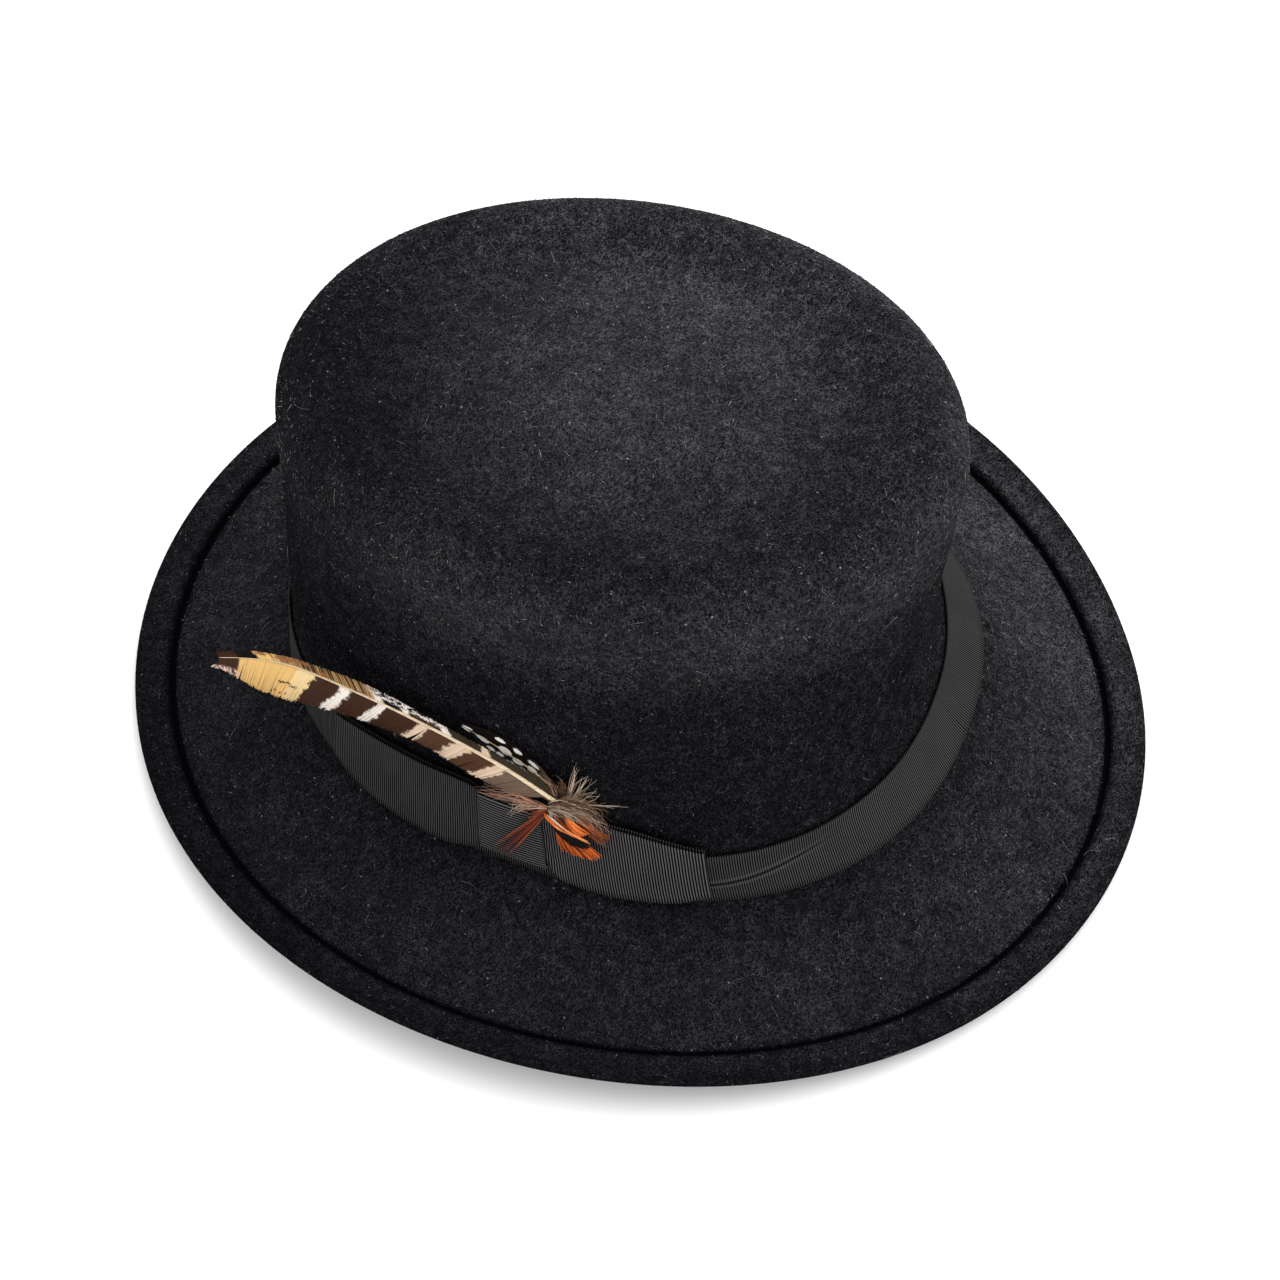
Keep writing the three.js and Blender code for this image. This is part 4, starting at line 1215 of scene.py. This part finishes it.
def shaft_material():
    """Pale horn with a faint grain along it."""
    shader = Shader("feather_shaft", Roughness=0.35)
    grain = shader.noise(shader.stretched(shader.place(), (0.1, 1.0, 1.0)), 0.4 * MM, 2.0, 0.6)
    shader.feed(Base_Color=shader.blend(grain.ramp(0.3, 0.7), paint(226, 208, 178), paint(186, 160, 126)))
    return shader.material


def strand_material(name, stops):
    """Loose barbs coloured by their own tone, darker at their roots."""
    shader, u, v, tone = vane_parts(name)
    mottle = shader.noise(shader.place(), 0.9 * MM, 2.0, 0.6)
    shade = (0.55 + 0.45 * u.ramp(0.0, 0.25)) * (0.75 + 0.5 * mottle)
    color = shader.shaded(shader.ramp(tone, stops), shade)
    shader.feed(Base_Color=color)
    return shader, color, u, v


class HAT_OT_feathers(Operator):
    """Builds the long barred feather and the short spotted one, barb by barb"""

    bl_idname = "hat.feathers"
    bl_label = "Feathers"

    def execute(self, context):
        form = HatForm()
        feather = context.scene.hat_feather
        long_one = barred_form(form)
        splits = [(0.335, 0.006), (0.885, 0.003), (0.18, 0.003)]
        vane = long_one.vane("barred_vane", 520, 8, 0.012, 0.962, 0.77, 0.27 * MM, 3, splits)
        finish_piece(vane, "barred_feather", barred_material(), "feather_barred")
        shaft = long_one.shaft("barred_shaft", -0.015, 0.968, feather.shaft, 0.2 * MM)
        finish_piece(shaft, "barred_feather", shaft_material())
        short_one = spotted_form(form)
        vane = short_one.vane("spotted_vane", 190, 7, 0.0, 0.93, 0.9, 0.24 * MM, 5)
        finish_piece(vane, "spotted_feather", spotted_material(), "feather_spotted")
        shaft = short_one.shaft("spotted_shaft", 0.0, 0.93, 0.5 * MM, 0.1 * MM)
        finish_piece(shaft, "spotted_feather", shaft_material())
        return {"FINISHED"}


# Bunches of loose barbs: root and tip along the hat's side (run), above the band's foot (rise) and
# out from the crown (out), all in millimetres, then their number, spread, bend and range of tones
DOWN_BUNCHES = [
    ((20, 38, 5), (34.8, 41, 5.5), 3, 0.5, 0.7, (0.5, 0.65)),
    ((21, 38, 5), (29, 45, 5), 6, 1.4, 1.6, (0.3, 0.6)),
    ((20, 39, 5), (26, 50, 4.5), 10, 1.2, 1.3, (0.3, 0.62)),
    ((19, 39, 5), (22.5, 52.5, 4), 8, 0.8, 0.9, (0.3, 0.62)),
    ((18, 40, 5), (17, 44, 4), 24, 1.8, 2.0, (0.0, 0.34)),
    ((16, 40, 6), (10, 45, 4.5), 30, 1.8, 1.6, (0.0, 0.34)),
    ((15, 40, 7), (3, 46, 6), 34, 2.0, 0.6, (0.1, 0.42)),
    ((17, 39.5, 7), (27, 37, 6), 60, 2.2, 3.4, (0.0, 0.36)),
    ((18, 39, 7.5), (28, 31, 6), 60, 1.8, 3.6, (0.0, 0.5)),
    ((15.5, 38.5, 8), (22.5, 37.5, 8), 70, 2.2, 2.2, (0.1, 0.5)),
    ((22, 37, 7), (28, 27, 6.3), 26, 1.5, 1.4, (0.7, 1.0)),
    ((14.5, 36.5, 9), (20.8, 29.8, 8.9), 6, 0.2, 0.2, (0.5, 0.66)),
    ((15, 38, 8), (15.5, 33, 8), 12, 1.0, 0.8, (0.45, 0.7)),
    ((14, 38, 8), (3, 31.5, 6.5), 30, 1.1, 1.6, (0.55, 0.85)),
    ((12, 38, 8), (-9, 33.5, 6.5), 18, 0.9, 1.9, (0.6, 0.85)),
    ((6, 33.5, 6.5), (0.5, 26.5, 6.2), 4, 0.4, 2.4, (0.55, 0.7)),
]
RUST_BUNCHES = [
    ((14.5, 37.8, 8), (-6.3, 10.6, 6.4), 6, 0.24, 0.2, (0.15, 0.8)),
    ((14.5, 37.5, 8), (-5.2, 9.4, 6.4), 6, 0.24, 0.3, (0.0, 0.35)),
    ((14.5, 37.2, 8), (-4.0, 8.8, 6.4), 6, 0.24, 0.2, (0.1, 0.8)),
    ((14.6, 37, 8), (-2.6, 8.4, 6.4), 6, 0.24, 0.3, (0.0, 0.3)),
    ((14.7, 37, 8), (-1.4, 8.6, 6.4), 6, 0.24, 0.3, (0.15, 0.85)),
    ((15, 38, 8), (7, 31, 7.4), 16, 0.8, 0.5, (0.1, 0.8)),
]

# Small orange feathers of the mount: a root and the two ends of the outer edge, in millimetres as above,
# then the bulge of that edge, the number of barbs, the kind of tip (0 plain, 1 brown, 2 black) and the tone
PETALS = [
    ((15.4, 32.5, 5.8), (16.2, 18.8, 5.6), (26, 19.8, 5.6), 1.8, 84, 0, 0.36),
    ((21, 34.5, 6.4), (26.4, 26, 6), (29.2, 28.4, 6), 0.8, 34, 1, 0.3),
    ((18.6, 36.5, 7.6), (21.6, 29.4, 7.8), (24, 30.6, 7.6), 0.6, 26, 0, 0.6),
    ((13.4, 36, 8.4), (16.6, 31.4, 8.2), (24.6, 27, 7.8), 1.0, 60, 0, 0.62),
    ((15.2, 31.8, 8.6), (23, 25.0, 8.2), (24.9, 26.8, 8.2), 0.3, 20, 2, 0.5),
]


class HAT_OT_mount(Operator):
    """Builds the down, the rust strands and the small orange feathers at the long feather's root"""

    bl_idname = "hat.mount"
    bl_label = "Feather mount"

    def execute(self, context):
        self.form = HatForm()
        self.rng = np.random.default_rng(21)
        down = [
            (0.0, paint(62, 44, 32)), (0.3, paint(124, 96, 74)), (0.55, paint(214, 198, 178)),
            (0.72, paint(172, 122, 98)), (1.0, paint(150, 78, 44)),
        ]
        piece = self.bunches("down", DOWN_BUNCHES, 9, 0.16 * MM)
        shader = strand_material("down_barbs", down)
        finish_piece(piece, "down", shader[0].material, "down_tuft")
        rust = [
            (0.0, paint(44, 18, 12)), (0.4, paint(108, 48, 28)), (0.75, paint(160, 84, 54)),
            (1.0, paint(206, 148, 116)),
        ]
        piece = self.bunches("rust_barbs", RUST_BUNCHES, 9, 0.24 * MM)
        shader, color, u, _ = strand_material("rust_strands", rust)
        shader.feed(Base_Color=shader.blend(u.ramp(0.86, 0.97), color, paint(34, 18, 14)))
        finish_piece(piece, "rust_feather", shader.material, "rust_strands")
        self.petals()
        return {"FINISHED"}

    def strands(self, name, local, widths, thickness, uvs, tones, facing=(0, -0.85, 0.5)):
        paths = self.form.beside(local[..., 0] * MM, local[..., 1] * MM, local[..., 2] * MM)
        tangent = unit(np.gradient(paths, axis=1))
        normals = np.broadcast_to(unit(np.array(facing)), paths.shape)
        sides = unit(np.cross(normals, tangent))
        return joined_strands(name, paths, sides, np.cross(tangent, sides), widths, thickness, uvs, tones)

    def bunches(self, name, rows, steps, width):
        rng = self.rng
        w = np.linspace(0, 1, steps)
        locals_, tones = [], []
        for start, end, count, spread, curl, tone in rows:
            root = np.array(start) + rng.normal(0, 0.25 * spread, (count, 3)) * (1, 1, 0.5)
            tip = np.array(end) + rng.normal(0, spread, (count, 3)) * (1, 1, 0.25)
            ahead = (tip - root) * rng.uniform(0.55, 1.0, (count, 1)) ** 0.6
            bend = rng.normal(0, 0.5 * curl, (count, 1, 3)) + np.array([0.4, 1.2, 0.2]) * 0.5 * curl
            arch = np.sin(math.pi * w)[None, :, None]
            hook = (w**3)[None, :, None] * rng.normal(0, 0.35 * curl, (count, 1, 3))
            straight = root[:, None] + ahead[:, None] * w[None, :, None]
            locals_.append(straight + (bend * arch + hook) * (1, 1, 0.35))
            tones.append(rng.uniform(*tone, count))
        local = np.concatenate(locals_)
        local[..., 2] = np.maximum(local[..., 2], 1.6)
        tones = np.concatenate(tones)
        widths = np.broadcast_to(width * np.clip(1.25 - w, 0.2, 1), local.shape[:2])
        uvs = np.stack(np.broadcast_arrays(w[None, :], tones[:, None]), axis=-1)
        return self.strands(name, local, widths, 0.1 * MM, uvs, tones)

    def petals(self):
        rng = self.rng
        steps = 10
        w = np.linspace(0, 1, steps)
        parts = []
        for *corners, swell_edge, count, tip_kind, base_tone in PETALS:
            share = np.linspace(0, 1, count)
            root, left, right = (np.array(corner, float) for corner in corners)
            bulge = swell_edge * np.sin(math.pi * share)[:, None]
            middle = unit((left + right) / 2 - root)
            tip = left + (right - left) * share[:, None] + middle * bulge
            tip = tip + rng.normal(0, 0.35, (count, 3)) * (1, 1, 0.2)
            fan = w[None, :, None]
            swell = np.sin(math.pi * np.clip(w * 0.9, 0, 1))[None, :, None]
            path = root + (tip - root)[:, None] * fan
            path = path + ((share[:, None] - 0.5) * 0.35)[..., None] * unit(right - left) * swell * 3
            lift = (0.6 + 0.4 * np.sin(math.pi * share))[:, None]
            path[..., 2] += 0.9 * np.sin(math.pi * w)[None, :] * lift
            tone = rng.normal(base_tone, 0.26, count) + 0.3 * (share - 0.5)
            parts.append((path, tone, np.full(count, tip_kind / 2)))
        local = np.concatenate([part[0] for part in parts])
        tones = np.clip(np.concatenate([part[1] for part in parts]), 0, 1)
        kind = np.concatenate([part[2] for part in parts])
        widths = np.broadcast_to(0.42 * MM * np.clip(1.2 - 0.75 * w**3, 0.3, 1), local.shape[:2])
        uvs = np.stack(np.broadcast_arrays(w[None, :], kind[:, None]), axis=-1)
        orange = [
            (0.0, paint(84, 32, 14)), (0.4, paint(166, 74, 30)), (0.75, paint(216, 108, 46)),
            (1.0, paint(240, 156, 92)),
        ]
        shader, color, u, v = strand_material("orange_barbs", orange)
        edge = u + (shader.noise(shader.place(), 1.2 * MM) - 0.5) * 0.12
        black_end = v.ramp(0.8, 0.9)
        brown_half = edge.ramp(0.35, 0.6) * v.ramp(0.3, 0.4) * (1.0 - v.ramp(0.6, 0.7))
        color = shader.blend(brown_half * 0.75, color, paint(58, 30, 20))
        shader.feed(Base_Color=shader.blend(black_end, color, BLACK))
        piece = self.strands("orange_barbs", local, widths, 0.12 * MM, uvs, tones)
        finish_piece(piece, "orange_feather", shader.material, "orange_fan")


class HAT_OT_stage(Operator):
    """Sets the floor, the soft lights and the camera at the photograph's angle"""

    bl_idname = "hat.stage"
    bl_label = "Stage"

    target = (0.0, 0.0, 0.05)
    elevation = math.radians(52.818)
    azimuth = math.radians(23.071)
    roll = math.radians(-0.189)
    distance = 0.581432
    shift = (0.00335, -0.05727)

    def execute(self, context):
        stage = context.scene.hat_stage
        self.camera(context, stage)
        self.floor(stage)
        self.lights(context, stage)
        context.scene.view_settings.view_transform = "Standard"
        return {"FINISHED"}

    def camera(self, context, stage):
        data = bpy.data.cameras.new("camera")
        data.sensor_width = 36
        data.lens = stage.lens
        data.shift_x, data.shift_y = self.shift
        data.clip_start = 0.01
        camera = bpy.data.objects.new("camera", data)
        context.scene.collection.objects.link(camera)
        back = (
            math.sin(self.azimuth) * math.cos(self.elevation),
            -math.cos(self.azimuth) * math.cos(self.elevation),
            math.sin(self.elevation),
        )
        camera.location = [t + b * self.distance for t, b in zip(self.target, back)]
        aim = Euler((math.pi / 2 - self.elevation, 0, self.azimuth), "XYZ").to_matrix()
        spin = Euler((0, 0, self.roll), "XYZ").to_matrix()
        camera.rotation_euler = (aim @ spin).to_euler("XYZ")
        context.scene.camera = camera

    def floor(self, stage):
        bm = bmesh.new()
        bmesh.ops.create_circle(bm, cap_ends=True, segments=96, radius=3.0)
        bmesh.ops.translate(bm, verts=bm.verts, vec=(0, 0, -0.0004))
        floor = build_mesh("floor", bm, smooth=False)
        shader = Shader("pale_floor", Roughness=0.8, Specular_IOR_Level=0.1)
        tone = shader.noise(shader.place(), 0.12, 3.0, 0.5).ramp(0.2, 0.8)
        pale = tuple(stage.floor)
        shader.feed(Base_Color=shader.blend(tone, pale, tuple(c * 0.985 for c in pale)))
        floor.data.materials.append(shader.material)

    def lights(self, context, stage):
        world = bpy.data.worlds.new("even_light")
        world.use_nodes = True
        world.node_tree.nodes["Background"].inputs["Color"].default_value = (1, 1, 1, 1)
        world.node_tree.nodes["Background"].inputs["Strength"].default_value = stage.fill
        context.scene.world = world
        for name, place, size, power in (
            ("overhead_light", (0.26, 0.42, 1.08), 1.5, stage.overhead),
            ("side_light", (0.7, -0.75, 0.6), 0.5, stage.side),
        ):
            data = bpy.data.lights.new(name, "AREA")
            data.energy = power
            data.size = size
            light = bpy.data.objects.new(name, data)
            light.location = place
            light.rotation_euler = light.location.to_track_quat("Z", "Y").to_euler()
            context.scene.collection.objects.link(light)


class HAT_PT_panel(Panel):
    """Lists the pieces and their sizes"""

    bl_label = "Felt Hat"
    bl_idname = "HAT_PT_panel"
    bl_space_type = "VIEW_3D"
    bl_region_type = "UI"
    bl_category = "Felt Hat"

    def draw(self, context):
        for operator in OPERATORS:
            self.layout.operator(operator.bl_idname)
        for group in SETTINGS:
            settings = getattr(context.scene, group)
            box = self.layout.box()
            for name in settings.__annotations__:
                box.prop(settings, name)


SETTINGS = {
    "hat_felt": FeltSettings,
    "hat_ribbon": RibbonSettings,
    "hat_feather": FeatherSettings,
    "hat_stage": StageSettings,
}
OPERATORS = [
    HAT_OT_stage, HAT_OT_felt_body, HAT_OT_nap, HAT_OT_band, HAT_OT_bow, HAT_OT_feathers, HAT_OT_mount,
]


def register():
    for one in (*SETTINGS.values(), *OPERATORS, HAT_PT_panel):
        bpy.utils.register_class(one)
    for name, group in SETTINGS.items():
        setattr(bpy.types.Scene, name, PointerProperty(type=group))


def unregister():
    for name in SETTINGS:
        delattr(bpy.types.Scene, name)
    for one in (HAT_PT_panel, *reversed(OPERATORS), *reversed(SETTINGS.values())):
        bpy.utils.unregister_class(one)


def main():
    register()
    bpy.ops.hat.stage()
    bpy.ops.hat.felt_body()
    bpy.ops.hat.nap()
    bpy.ops.hat.band()
    bpy.ops.hat.bow()
    bpy.ops.hat.feathers()
    bpy.ops.hat.mount()


if __name__ == "__main__":
    main()
